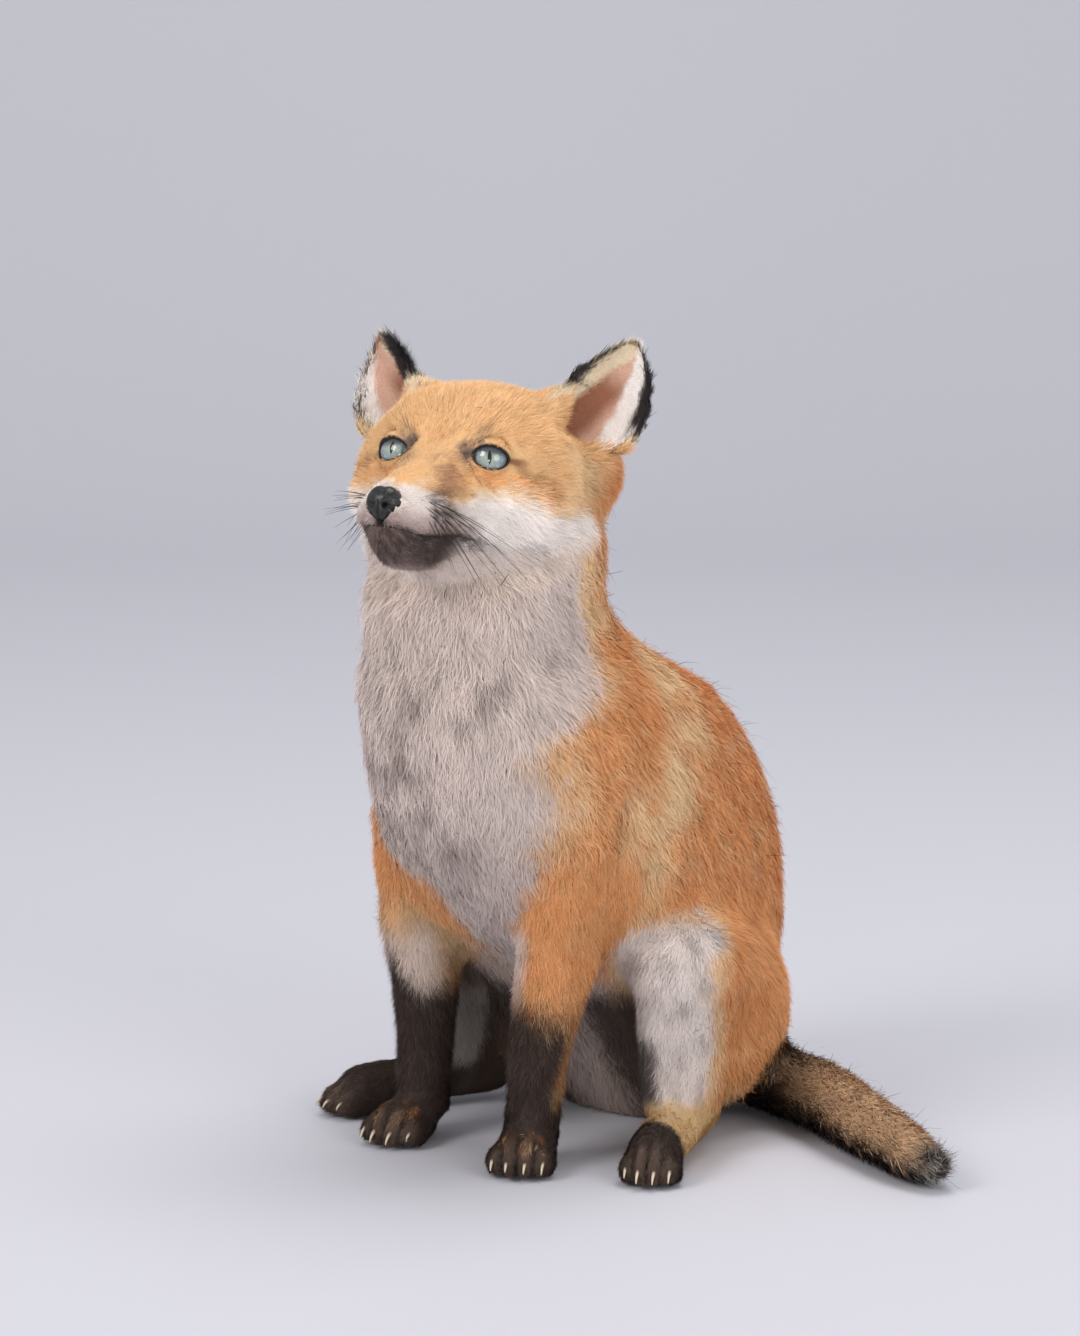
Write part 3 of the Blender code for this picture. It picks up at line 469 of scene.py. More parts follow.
    paint("lip", 0.35 * head * muzzle * edge(hy, -0.024, -0.034) * edge(hz, -0.017, -0.023)
          * edge(fine, -0.3, 0.8))
    for side in flips:  # dark hair and painted shade at the inner corner of each eye and under the brow, and a brown one at the outer
        across, high, far = inLids(p, side)
        close = head * edge(far, 0.0170, 0.0140)
        shift, strong = (8, 1.0) if side == "left" else (2, 0.6)
        corner = edge(np.hypot((across + lids["halfWide"] + shift) / 25, (high - 5) / 31), 1.0, 0.4)
        upper = edge(np.hypot((across + 38) / 24, (high - 36) / 15), 1.0, 0.4) * strong
        paint("innerEye", close * np.clip(corner + upper, 0, 1) * (0.62 + 0.38 * broken))
        outer = edge(np.hypot((across - lids["halfWide"] - 8) / 17, (high + 3) / 11), 1.0, 0.3)
        paint("crease", 0.8 * close * outer)
    outer = [(0.0330, 0.0017, -0.0005), (0.0367, 0.0030, -0.0039), (0.0410, 0.0050, -0.0072),
             (0.0457, 0.0086, -0.0114)]
    paint("crease", head * 0.80 * nearLine(face, outer, 0.0042) * (0.5 + 0.5 * broken))
    # brown hair with painted shade along the brow above the inner corner of each eye
    brow = [(0.0138, -0.0066, 0.0052), (0.0154, -0.0034, 0.0089), (0.0179, -0.0008, 0.0123)]
    paint("innerEye", head * 0.75 * nearLine(face, brow, 0.0042) * broken)

    # ears
    for side in flips:
        mine, share, width, inside, up, across = zone["ear" + side]
        outside = mine * (1 - inside)
        paint("straw", outside * edge(share, 0.5, 0.3))
        paint("earBack", outside * edge(share + 0.05 * rough, 0.26, 0.36))
        if side == "left":  # its front edge is pale, with black only low down
            foremost = edge(width, -0.66, -0.84)
            paint("cream", 0.85 * outside * edge(share + 0.04 * rough, 0.44, 0.54) * foremost)
        paint("earPink", mine * inside)
        hollow = edge(width - 0.9 * share, -0.10, -0.50) * edge(share, 0.75, 0.50)
        paint("earHollow", 0.95 * mine * inside * hollow)
        rim = np.interp(share, (0.2, 0.3, 0.55, 0.7, 0.85), (-0.80, -0.67, -0.44, -0.36, 0.10))
        paint("cream", mine * inside * edge(width - rim, 0.05, -0.06) * edge(share, 0.18, 0.30))
        outer, front, band = (0.62, -0.80, 0.44) if side == "left" else (1.30, -0.20, 0.72)
        paint("cheek", mine * inside * edge(width + 0.04 * rough, outer - band - 0.04, outer - band + 0.06))
        paint("cheek", 0.9 * mine * inside * edge(share, 0.40, 0.28) * edge(width, 0.15, 0.45))
        high = edge(share + 0.04 * rough, 0.24, 0.34)
        paint("earBack", mine * high * edge(width + 0.03 * rough, outer - 0.03, outer + 0.03))
        foremost = edge(width + 0.04 * rough, front + 0.04, front - 0.04)
        paint("earBack", mine * edge(share, 0.34, 0.46) * foremost * edge(share, 0.98, 0.90))
    return colour


# coat plan: what each zone's fur is like; a later row covers an earlier one
# depth of the skin under the tips, length, lift in degrees, half width of a hair, locks per square cm
coatPlan = {
    "trunk": (0.0028, 0.0120, 21, 0.00016, 44),
    "neck": (0.0032, 0.0125, 22, 0.00016, 47),
    "thigh": (0.0027, 0.0105, 26, 0.00015, 82),
    "shin": (0.0025, 0.0088, 32, 0.00014, 88),
    "foot": (0.0013, 0.0044, 22, 0.00015, 115),
    "foreleg": (0.0025, 0.0086, 34, 0.00014, 92),
    "forepaw": (0.0013, 0.0044, 22, 0.00015, 115),
    "tail": (0.0040, 0.0125, 34, 0.00013, 84),
    "head": (0.0019, 0.0076, 16, 0.00015, 100),
    "muzzle": (0.0009, 0.0038, 16, 0.00014, 150),
    "ear": (0.0007, 0.0046, 14, 0.00015, 120),
}
planColumns = ("depth", "length", "lift", "width", "crowd")
underEar = (0.048, 0.043, -0.003)  # the hollow under the ear's outer corner, in the head


def coatAt(p, n, zone):
    # the plan's numbers at each place: each zone's row blended over the ones before by the zone's share
    h, head, tailShare = zone["h"], zone["head"], zone["tailShare"]
    z, hy, hz, (nx, ny, nz) = p[:, 2], h[:, 1], h[:, 2], n.T
    face = folded(h)
    values = np.tile(np.array(coatPlan["trunk"]), (len(p), 1))
    for name, row in coatPlan.items():
        if name != "trunk":
            values = blend(zone[name], values, np.array(row)[None, :])
    cheek = [(0.034, 0.010, -0.024), (0.046, 0.030, -0.030), (0.044, 0.050, -0.030)]
    ruff = nearLine(face, cheek, 0.024) * head
    crown = head * edge(hz, 0.014, 0.024) * edge(face[:, 0], 0.036, 0.026) * edge(hy, -0.008, 0.006)
    throat = zone["neck"] * edge(ny, -0.1, -0.6)
    elbow = zone["forelegRight"] * edge(z, 0.072, 0.086) * edge(z, 0.112, 0.098) * edge(nx, -0.3, -0.8)
    for share, row in (
        (0.8 * ruff, (0.0030, 0.0125, 19, 0.00016, 88)),
        (crown, (0.0001, 0.0092, 20, 0.00016, 100)),
        (0.9 * throat, (0.0012, 0.0165, 24, 0.00016, 47)),
        (zone["jaw"] * edge(hy, -0.010, -0.022), (0.0010, 0.0055, 27, 0.00014, 130)),
        (elbow, (0.0020, 0.0140, 42, 0.00014, 92)),
    ):
        values = blend(share, values, np.array([row]))
    values[:, 0] += 0.0018 * zone["footRight"] * edge(nz, 0.1, 0.7) * edge(z, 0.010, 0.018)
    upper = zone["tail"] * edge(tailShare, 0.42, 0.72) * edge(nz, -0.5, 0.5)
    values[:, 0] += 0.0050 * upper * edge(tailShare, 1.0, 0.86)
    coat = dict(zip(planColumns, values.T))

    def tune(share, **numbers):
        for key, number in numbers.items():
            coat[key] = blend(share, coat[key], number)

    for side in flips:
        mine, share, width, opens, up, across = zone["ear" + side]
        inside = mine * opens
        bare = inside * edge(width, -0.40, -0.30) * edge(width, 0.60, 0.50) * edge(share, 0.88, 0.78)
        tune(inside * (1 - bare), length=0.0058)
        tune(mine * edge(share, 0.88, 1.0), length=0.0030)
        tune(inside * edge(share, 0.38, 0.26) * edge(width, 0.40, 0.55), length=0.0085)
        tune(mine * (1 - inside), lift=18)
        if side == "right":  # longer hair stands over both rims
            high = edge(share, 0.97, 0.88)
            tune(mine * edge(share, 0.30, 0.45) * high * edge(width, -0.2, -0.6), length=0.0095, lift=52)
            tune(mine * edge(share, 0.22, 0.36) * high * edge(width, 0.62, 0.86), length=0.0075, lift=34)
        tune(bare, length=0.0026)
        tune(bare * 0.8, crowd=22)
    below = edge(np.linalg.norm(face - underEar, axis=1), 0.016, 0.006)
    tune(below * (1 - zone["ear"]) * head, length=0.0105, lift=34)
    lips = edge(np.abs(zone["mouth"]), 0.0022, 0.0010) * head * edge(hy, 0.010, 0.0)
    coat["length"] = coat["length"] * (1 - 0.35 * lips)
    return coat


# which way the fur lies on the head: a few places (right half mirrored from the left) and the way there
headLie = [
    ((0.000, -0.043, -0.009), (0.05, 1.0, 0.30)),
    ((0.006, -0.025, -0.001), (0.25, 1.0, 0.25)),
    ((0.000, -0.005, 0.016), (0.00, 0.9, 0.50)),
    ((0.000, 0.030, 0.031), (0.00, 1.0, 0.00)),
    ((0.020, -0.002, 0.013), (0.45, 0.75, 0.55)),
    ((0.026, 0.012, 0.024), (0.25, 0.9, 0.35)),
    ((0.036, 0.003, 0.002), (0.60, 0.80, 0.00)),
    ((0.018, -0.018, -0.008), (0.55, 0.85, -0.12)),
    ((0.030, -0.004, -0.012), (0.60, 0.80, -0.15)),
    ((0.013, -0.036, -0.018), (0.35, 0.90, -0.15)),
    ((0.008, -0.048, -0.026), (0.60, 0.60, -0.55)),
    ((0.017, -0.022, -0.026), (0.40, 0.85, -0.35)),
    ((0.032, 0.002, -0.026), (0.55, 0.75, -0.40)),
    ((0.048, 0.022, -0.020), (0.40, 0.80, -0.45)),
    ((0.048, 0.040, -0.032), (0.15, 0.60, -0.80)),
    ((0.047, 0.022, 0.006), (0.40, 0.85, -0.10)),
    ((0.010, -0.034, -0.045), (0.25, 0.95, -0.10)),
    ((0.000, -0.014, -0.049), (0.00, 0.80, -0.60)),
    ((0.000, 0.066, 0.004), (0.00, 0.55, -0.85)),
]


def lieAt(p, n, zone):
    # the way the hairs run: each zone's own direction, blended, laid on the skin and turned a little
    h = zone["h"]
    chest = edge(n[:, 1], -0.15, -0.75)
    way = np.stack([0.10 * np.sign(p[:, 0]) * chest, 0.62 * (1 - chest), -np.ones(len(p))], axis=1)
    half = np.array([(x, y, z) for (x, y, z), _ in headLie])
    runs = np.array([w for _, w in headLie])
    spots = np.vstack([half, half * (-1, 1, 1)])
    runs = unit(np.vstack([runs, runs * (-1, 1, 1)]))
    pull = ((h[:, None, :] - spots[None]) ** 2).sum(axis=2) + 1e-6
    head = (pull ** -2.2) @ runs / (pull ** -2.2).sum(axis=1)[:, None]
    way = blend(zone["head"], unit(way), unit(head) @ headAxes.T)
    for part, back in (("foreleg", 0.12), ("thigh", 0.30), ("shin", -0.10)):
        for side in ("Left", "Right"):
            way = blend(zone[part + side], way, np.array([0.0, back, -1.0]))
    for name in ("forepawLeft", "forepawRight", "footLeft", "footRight"):
        way = blend(zone[name], way, unit(zone[name + "Way"] + np.array([0, 0, -0.25])))
    way = blend(zone["tail"], way, zone["tailWay"])
    for name in flips:
        mine, share, width, opens, up, across = zone["ear" + name]
        inwards = -np.sign(width)[:, None] * across * opens[:, None]
        way = blend(mine, way, unit(up + 0.35 * inwards))
    way = unit(way - dots(way, n)[:, None] * n)
    bib = edge(zone["bibGap"], 0, 15) * (1 - zone["head"]) * edge(p[:, 2], 0.09, 0.12)
    turn = np.radians((15 + 14 * bib) * (1 - zone["ear"])) * wobble(p, 0.017, 12)
    turn = turn * (1 - 0.6 * zone["head"]) * (1 - 0.6 * zone["forepaw"])
    return np.cos(turn)[:, None] * way + np.sin(turn)[:, None] * np.cross(n, way)


# making meshes from whole arrays
def makePiece(name, points, faces, material, normals=None):
    # a smooth mesh in the scene; faces: one array, or a list of arrays with triangles, quads or whole rings
    mesh = bpy.data.meshes.new(name)
    groups = faces if isinstance(faces, list) else [faces]
    sizes = np.concatenate([np.full(len(g), g.shape[1]) for g in groups])
    corners = np.concatenate([np.asarray(g).ravel() for g in groups]).astype(np.int32)
    mesh.vertices.add(len(points))
    mesh.vertices.foreach_set("co", np.asarray(points, np.float32).ravel())
    mesh.loops.add(len(corners))
    mesh.loops.foreach_set("vertex_index", corners)
    mesh.polygons.add(len(sizes))
    mesh.polygons.foreach_set("loop_start", np.concatenate([[0], np.cumsum(sizes)[:-1]]).astype(np.int32))
    mesh.update(calc_edges=True)
    mesh.validate()
    mesh.shade_smooth()
    if normals is not None:
        mesh.normals_split_custom_set_from_vertices(normals)
    mesh.materials.append(material)
    piece = bpy.data.objects.new(name, mesh)
    bpy.context.scene.collection.objects.link(piece)
    return piece


def addColour(piece, name, colours):
    # one colour for each point, for the materials
    layer = piece.data.attributes.new(name, "FLOAT_COLOR", "POINT")
    rows = np.ones((len(colours), 4), np.float32)
    rows[:, :3] = colours
    layer.data.foreach_set("color", rows.ravel())


def addNumber(piece, name, values):
    # one number for each point, for the materials
    layer = piece.data.attributes.new(name, "FLOAT", "POINT")
    layer.data.foreach_set("value", np.asarray(values, np.float32))


def readMesh(mesh):
    # (points, vertex normals, the vertex at each corner)
    count = len(mesh.vertices)
    points, normals = np.empty(count * 3, np.float32), np.empty(count * 3, np.float32)
    mesh.vertices.foreach_get("co", points)
    mesh.vertex_normals.foreach_get("vector", normals)
    corners = np.empty(len(mesh.loops), np.int32)
    mesh.loops.foreach_get("vertex_index", corners)
    return points.reshape(-1, 3).astype(float), normals.reshape(-1, 3).astype(float), corners


def evaluatedMesh(holder):
    # the mesh that an object's modifiers make; the object itself is removed
    mesh = bpy.data.meshes.new_from_object(holder.evaluated_get(bpy.context.evaluated_depsgraph_get()))
    bpy.data.objects.remove(holder)
    return mesh


def edgesOf(quads):
    # each edge once, as its two points in order
    sides = np.concatenate([quads[:, [i, (i + 1) % 4]] for i in range(4)])
    return np.unique(np.sort(sides, axis=1), axis=0)


def softened(values, edges, rounds, share=0.5):
    # each value moved towards the mean of its neighbours, a number of times
    values = values.astype(float)
    ends = np.concatenate([edges[:, 0], edges[:, 1]])
    others = np.concatenate([edges[:, 1], edges[:, 0]])
    count = np.maximum(np.bincount(ends, minlength=len(values)), 1)
    for _ in range(rounds):
        sums = [np.bincount(ends, values[others, k], len(values)) for k in range(values.shape[1])]
        values += share * (np.stack(sums, axis=1) / count[:, None] - values)
    return values


# shader arithmetic
class Wire:
    # an output socket that takes part in sums
    def __init__(self, graph, socket):
        self.graph, self.socket = graph, socket

    def do(self, operation, *others):
        return self.graph.node("ShaderNodeMath", {"operation": operation}, dict(enumerate((self, *others))))

    def __add__(self, other):
        return self.do("ADD", other)

    def __mul__(self, other):
        return self.do("MULTIPLY", other)

    def __pow__(self, other):
        return self.do("POWER", other)

    def __rsub__(self, other):
        return self.graph.node("ShaderNodeMath", {"operation": "SUBTRACT"}, {0: other, 1: self})

    __radd__, __rmul__ = __add__, __mul__


class Graph:
    # a material with its nodes; the constants go to the sockets of its shader, with _ for a space
    def __init__(self, name, **constants):
        self.material = bpy.data.materials.new(name)
        self.material.use_nodes = True
        self.tree = self.material.node_tree
        self.shader = self.tree.nodes["Principled BSDF"]
        for socket, value in constants.items():
            self.shader.inputs[socket.replace("_", " ")].default_value = value
        self.place = self.node("ShaderNodeTexCoord", output="Object")

    def node(self, kind, settings=None, values=None, output=0):
        made = self.tree.nodes.new(kind)
        for key, value in (settings or {}).items():
            setattr(made, key, value)
        for key, value in (values or {}).items():
            self.feed(made.inputs[key], value)
        return Wire(self, made.outputs[output])

    def feed(self, socket, value):
        if isinstance(value, Wire):
            self.tree.links.new(value.socket, socket)
        else:
            socket.default_value = value

    def mix(self, share, a, b):
        a, b = (v if isinstance(v, Wire) else (*v, 1.0) for v in (a, b))
        return self.node("ShaderNodeMix", {"data_type": "RGBA"}, {0: share, 6: a, 7: b}, 2)

    def scaled(self, colour, factor):
        return self.node("ShaderNodeVectorMath", {"operation": "SCALE"}, {0: colour, 3: factor})

    def noise(self, scale, detail=2.0, where=None):
        values = {"Vector": where or self.place, "Scale": scale, "Detail": detail}
        return self.node("ShaderNodeTexNoise", None, values)

    def attribute(self, name, output="Color"):
        return self.node("ShaderNodeAttribute", {"attribute_name": name}, output=output)

    def rise(self, value, low, high):
        smooth = {"interpolation_type": "SMOOTHSTEP"}
        return self.node("ShaderNodeMapRange", smooth, {0: value, 1: low, 2: high})

    def bump(self, height, distance, strength=1.0):
        values = {"Strength": strength, "Distance": distance, "Height": height}
        return self.node("ShaderNodeBump", None, values)

    def finish(self, **sockets):
        for name, value in sockets.items():
            self.feed(self.shader.inputs[name.replace("_", " ")], value)
        return self.material


coatLook = {
    "patchSize": 55.0,  # per metre: patches of shade about 20 mm across
    "patchDepth": 0.36,
    "strandDepth": 0.30,  # how much one lock differs from the next
    "rootShade": 0.82,  # brightness at the skin
    "roughness": 0.72,
}


def coatMaterial(name, strands):
    # marking colour, with its painted shade, x patches x per-lock change x root shade
    g = Graph(name, Roughness=coatLook["roughness"], Specular_IOR_Level=0.22)
    colour = g.attribute("markingAndShade")
    patch = g.noise(coatLook["patchSize"], 3.0)
    bright = (1 - coatLook["patchDepth"] / 2) + coatLook["patchDepth"] * patch
    if strands:
        lock, along = g.attribute("lock", "Fac"), g.attribute("along", "Fac")
        bright = bright * ((1 - coatLook["strandDepth"] / 2) + coatLook["strandDepth"] * lock)
        bright = bright * (coatLook["rootShade"] + (1.10 - coatLook["rootShade"]) * g.rise(along, 0.1, 0.9))
        return g.finish(Base_Color=g.scaled(colour, bright), Roughness=coatLook["roughness"] - 0.10 * along)
    fine = g.noise(900.0, 3.0)
    bright = bright * (0.68 + 0.32 * fine)
    height = g.noise(1400.0, 2.0) + 0.5 * g.noise(420.0, 2.0)
    return g.finish(Base_Color=g.scaled(colour, bright), Normal=g.bump(height, 0.0006, 0.8))


skinMaterial = coatMaterial("skin", False)
lockMaterial = coatMaterial("coat", True)

# skin: one closed form inside all nodes of flesh
skinLook = {"voxel": 0.0019, "growth": 0.00045, "smoothing": 5, "lowest": 0.0006}
fleshNames = [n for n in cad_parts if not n.startswith(("claw", "eye", "nose"))]


def mergedNode(name):
    # the node's points and triangles, doubles merged, each point moved out a little to close the joints
    holder = bpy.data.objects.new("holder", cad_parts[name].data.copy())
    bpy.context.scene.collection.objects.link(holder)
    weld = holder.modifiers.new("weld", "WELD")
    weld.merge_threshold = 0.00001
    points, normals, corners = readMesh(evaluatedMesh(holder))
    return points + normals * skinLook["growth"], corners.reshape(-1, 3)


def joined(parts):
    # meshes as (points, faces) put together, the face numbers moved on by the points before
    starts = np.cumsum([0] + [len(points) for points, faces in parts])
    faces = np.vstack([faces + start for (points, faces), start in zip(parts, starts)])
    return np.vstack([points for points, faces in parts]), faces


def fusedFlesh():
    # all nodes of flesh remeshed into one closed surface
    holder = makePiece("fusing", *joined([mergedNode(name) for name in fleshNames]), skinMaterial)
    remesh = holder.modifiers.new("remesh", "REMESH")
    remesh.mode, remesh.voxel_size = "VOXEL", skinLook["voxel"]
    return evaluatedMesh(holder)


def eyeAngles(p, side):
    # (angle outwards and angle up from straight ahead, distance) of places seen from the middle of an eyeball
    rel = toHead(p) * flips[side] - eyeSpot
    far = np.linalg.norm(rel, axis=1)
    outward, up = np.arctan2(rel[:, 0], -rel[:, 1]), np.arcsin(rel[:, 2] / np.maximum(far, 1e-9))
    return np.degrees(outward), np.degrees(up), far


lids = {  # the opening of the lids, in degrees seen from the middle of the eyeball
    "outward": {"left": 28.0, "right": 14.0},
    "up": {"left": 6.0, "right": 12.0},
    "halfWide": 57.5,
    "halfHigh": 32.0,
    "slant": -0.08,  # the outer corner is higher
}


def inLids(p, side):
    # (degrees across the opening, degrees above its slanted middle line, distance from the eyeball's middle)
    outward, up, far = eyeAngles(p, side)
    across = outward - lids["outward"][side]
    return across, up - lids["up"][side] - lids["slant"] * across, far


def lidGap(across, high, margin):
    # below 1 inside the opening's ellipse widened by the margin
    return np.sqrt((across / (lids["halfWide"] + margin)) ** 2 + (high / (lids["halfHigh"] + margin)) ** 2)


def mainBody(points, faces):
    # only the largest connected form: labels spread along the faces until they settle
    label = np.arange(len(points))
    while True:
        low = label[faces].min(axis=1)
        new = label.copy()
        np.minimum.at(new, faces.ravel(), np.repeat(low, faces.shape[1]))
        new = new[new]
        if (new == label).all():
            break
        label = new
    names, counts = np.unique(label, return_counts=True)
    keep = label == names[counts.argmax()]
    index = np.cumsum(keep) - 1
    return points[keep], index[faces[keep[faces[:, 0]]]], keep


def eyeMiddle(side):
    return fromHead(eyeSpot * flips[side])


def eyeWay(outward, up, side):
    # unit directions in the world from angles in degrees at an eyeball
    a, b = np.radians(outward), np.radians(up)
    way = np.stack([np.sin(a) * np.cos(b), -np.cos(a) * np.cos(b), np.sin(b) + 0 * a], axis=-1)
    return way * flips[side] @ headAxes.T


def bodySkin():
    # the fused flesh, smoothed and drawn in by the depth of the fur, with ears, lips and clefts worked in
    points, normals, corners = readMesh(fusedFlesh())
    points, faces, kept = mainBody(points, corners.reshape(-1, 4))
    edges = edgesOf(faces)
    for _ in range(skinLook["smoothing"]):
        points = softened(softened(points, edges, 1, 0.5), edges, 1, -0.52)
    out = unit(softened(normals[kept], edges, 6))
    zone = zones(points, out)
    coat = coatAt(points, out, zone)
    depth = softened(coat["depth"][:, None] + skinLook["growth"], edges, 8)
    points = softened(points - out * depth, edges, 2, 0.4)
    tip = zone["tail"] * edge(zone["tailShare"], 0.78, 1.0)
    points = points - zone["tailWay"] * (0.0125 * tip)[:, None]
    for side in flips:  # the hollow of each ear is opened down to its sheet
        share, width, front, opens = earPlace(toHead(points), side)[:4]
        push = conchShare(share, width) * np.clip(front - 0.0009, 0, 0.024) * (front < 0.030)
        points = points - softened(push[:, None], edges, 2) * (headAxes @ opens)
        tipped = zone["ear" + side][0] * edge(share, 0.72, 1.0)
        points = points - zone["ear" + side][4] * (0.0016 * tipped)[:, None]
    crease = np.exp(-((zone["mouth"] / 0.0016) ** 2)) * zone["head"] * edge(zone["h"][:, 1], 0.004, -0.006)
    points = points - out * (0.0013 * crease)[:, None]
    hx, hy, hz = toHead(points).T
    drawn = zone["jaw"] * edge(hy, -0.020, -0.040) * edge(zone["mouth"], 0.0, -0.003)
    pull = [0.0030 * edge(hx, 0.004, -0.010), 0.0012 * edge(hy, -0.040, -0.050), 0 * drawn]
    points = points + softened(drawn[:, None] * np.stack(pull, axis=1), edges, 3) @ headAxes.T
    chin = softened((zone["jaw"] * edge(zone["mouth"], -0.002, -0.005))[:, None], edges, 2)
    points = points + chin * (softened(points, edges, 14, 0.5) - points)
    groove = edge(np.abs(hx), 0.0016, 0.0004) * edge(hy, -0.044, -0.048) * edge(hz, -0.037, -0.034)
    points = points - out * (0.0009 * groove * edge(hz, -0.023, -0.026))[:, None]
    for name in paws:  # clefts between the toes
        local = inPaw(points, name)
        gaps = np.min(np.abs(local[:, :1] - acrossPaw(cleftShares, name)), axis=1)
        cleft = np.exp(-((gaps / 0.0014) ** 2)) * edge(local[:, 1], -0.006, -0.012)
        cleft = cleft * edge(local[:, 2], 0.024, 0.018)
        points = points - out * (0.0030 * cleft * (zone["forepaw"] + zone["foot"] > 0.3))[:, None]
    fold = folded(toHead(points)) - [0.048, 0.042, -0.003]
    fold = edge(np.linalg.norm(fold, axis=1), 0.017, 0.008)[:, None]
    points = points + fold * (softened(points, edges, 90, 0.5) - points)
    points = points - out * (0.0030 * nearLine(folded(points), armCrease, 0.010))[:, None]
    x, y, z = points.T
    joint = edge(z, 0.080, 0.100) * edge(z, 0.140, 0.120) * edge(np.abs(x), 0.030, 0.045)
    joint = (joint * edge(y, -0.050, -0.035))[:, None]
    points = points + joint * (softened(points, edges, 40, 0.5) - points)
    points[:, 2] = np.maximum(points[:, 2], skinLook["lowest"])
    return points, faces


def lidRing(side, solid):
    # rows round the opening: from inside the edge, over the lid's rim, out to the skin round the eye
    margins = np.array([-3.0, -0.6, 0.4, 1.8, 3.6, 6.0, 9.0, 12.0, 15.0, 18.0, 21.0, 24.0])
    lift = np.array([-0.0006, 0.0002, 0.0007, 0.00105, 0.0011, 0.0010,
                     0.0009, 0.0008, 0.0007, 0.0006, 0.0005, 0.0004])
    turn = np.linspace(0, 2 * math.pi, eyeSides, endpoint=False)
    m = margins[:, None]
    pointed = 0.42 * np.exp(-np.maximum(m, 0) / 7.0)
    a = (lids["halfWide"] + m) * np.cos(turn)
    b = (lids["halfHigh"] + m) * np.sin(turn) * np.abs(np.sin(turn)) ** pointed + lids["slant"] * a
    ways = eyeWay(lids["outward"][side] + a, lids["up"][side] + b, side)
    middle = eyeMiddle(side)
    reach = np.zeros((2, len(margins) * len(turn)))
    for i, start in enumerate((0.030, 0.0165)):  # where the nose bridge is in the way, the ray starts nearer
        for k, way in enumerate(ways.reshape(-1, 3)):
            hit = solid.ray_cast(Vector(middle + way * start), Vector(-way))[0]
            reach[i, k] = (hit - Vector(middle)).length if hit else 0.0
    inward = np.tile(np.cos(turn) < 0.1, len(margins))
    reach = np.where(inward & (reach[0] > 0.0145), reach[1], reach[0]).reshape(len(margins), -1)
    for _ in range(2):
        reach = (np.roll(reach, 1, axis=1) + 2 * reach + np.roll(reach, -1, axis=1)) / 4
    over = edge(m, 1.0, 17.0)
    brow = 1 + 0.8 * np.maximum(0, np.sin(turn)) * edge(m, -2.0, 1.0)  # the upper lid stands out further
    far = eyeRadius + lift[:, None] * brow
    far = far + (np.maximum(reach, eyeRadius + 0.0004) - far) * over
    far[-1] = reach[-1] - 0.0008
    points = (middle + ways * far[..., None]).reshape(-1, 3)
    faces = ringFaces(len(margins), len(turn))
    if side == "left":
        faces = faces[:, ::-1]
    rim = np.repeat(edge(margins, 2.4, 0.6), len(turn))
    return points, faces, rim


def ringFaces(rows, sides, closed=True):
    # quads between neighbouring rings of points
    i, k = np.meshgrid(np.arange(rows - 1), np.arange(sides if closed else sides - 1), indexing="ij")
    a, b = i * sides + k, i * sides + (k + 1) % sides
    return np.stack([a, b, b + sides, a + sides], axis=-1).reshape(-1, 4)


def ballRings(rows, sides, hole):
    # a unit ball round its z axis: (rows, sides, 3) places and its faces, with a small flat cap at either end
    tilt = np.concatenate([[hole], np.linspace(0, math.pi, rows)[1:-1], [math.pi - hole]])[:, None]
    turn = np.linspace(0, 2 * math.pi, sides, endpoint=False)
    ball = [np.sin(tilt) * np.cos(turn), np.sin(tilt) * np.sin(turn), np.cos(tilt) * np.ones_like(turn)]
    cap = np.arange(sides)[None]
    return np.stack(ball, axis=-1), [ringFaces(rows, sides), cap[:, ::-1], cap + (rows - 1) * sides]


def tubes(lines, radii, sides):
    # round tubes of one number of points each along many lines: (lines, points, 3) -> points and quads
    count, steps = lines.shape[:2]
    way = unit(np.gradient(lines, axis=1))
    side = unit(np.cross(way, np.array([0.31, 0.22, 0.92])))
    up = np.cross(side, way)
    angle = np.linspace(0, 2 * math.pi, sides, endpoint=False)
    ring = np.cos(angle)[:, None] * side[:, :, None] + np.sin(angle)[:, None] * up[:, :, None]
    points = (lines[:, :, None] + ring * radii[:, :, None, None]).reshape(-1, 3)
    one = ringFaces(steps, sides)[:, ::-1]
    faces = (one[None] + np.arange(count)[:, None, None] * steps * sides).reshape(-1, 4)
    return points, faces


def lipLine(solid):
    # the dark edge of the lips: a thin tube on the skin, from one corner of the mouth round to the other
    along, front = 22, 25  # points along each side and round the front
    back = [np.linspace(-0.005, -0.036, along), np.full(front, -0.038), np.linspace(-0.036, -0.005, along)]
    swing = [np.zeros(along), np.linspace(0, 180, front), np.full(along, 180.0)]
    line = []
    for y, turn in zip(np.concatenate(back), np.concatenate(swing)):
        way = np.array([math.cos(math.radians(turn)), -math.sin(math.radians(turn)), 0])
        start = np.array([0, y, 0])
        start[2] = np.interp(y - 0.011 * math.sin(math.radians(turn)), mouthLine["back"], mouthLine["height"])
        far = fromHead(start + way * 0.06)
        hit = solid.ray_cast(Vector(far), Vector((fromHead(start) - far) / 0.06))[0]
        line.append(np.array(hit) - (headAxes @ way) * 0.0001 if hit else fromHead(start + way * 0.015))
    count = len(line)
    line = softened(np.array(line), np.stack([np.arange(count - 1), np.arange(1, count)], axis=1), 3)
    radii = 0.00040 * np.sin(np.linspace(0.0, math.pi, count)) ** 0.6 + 0.00008
    return tubes(line[None], radii[None], 8)


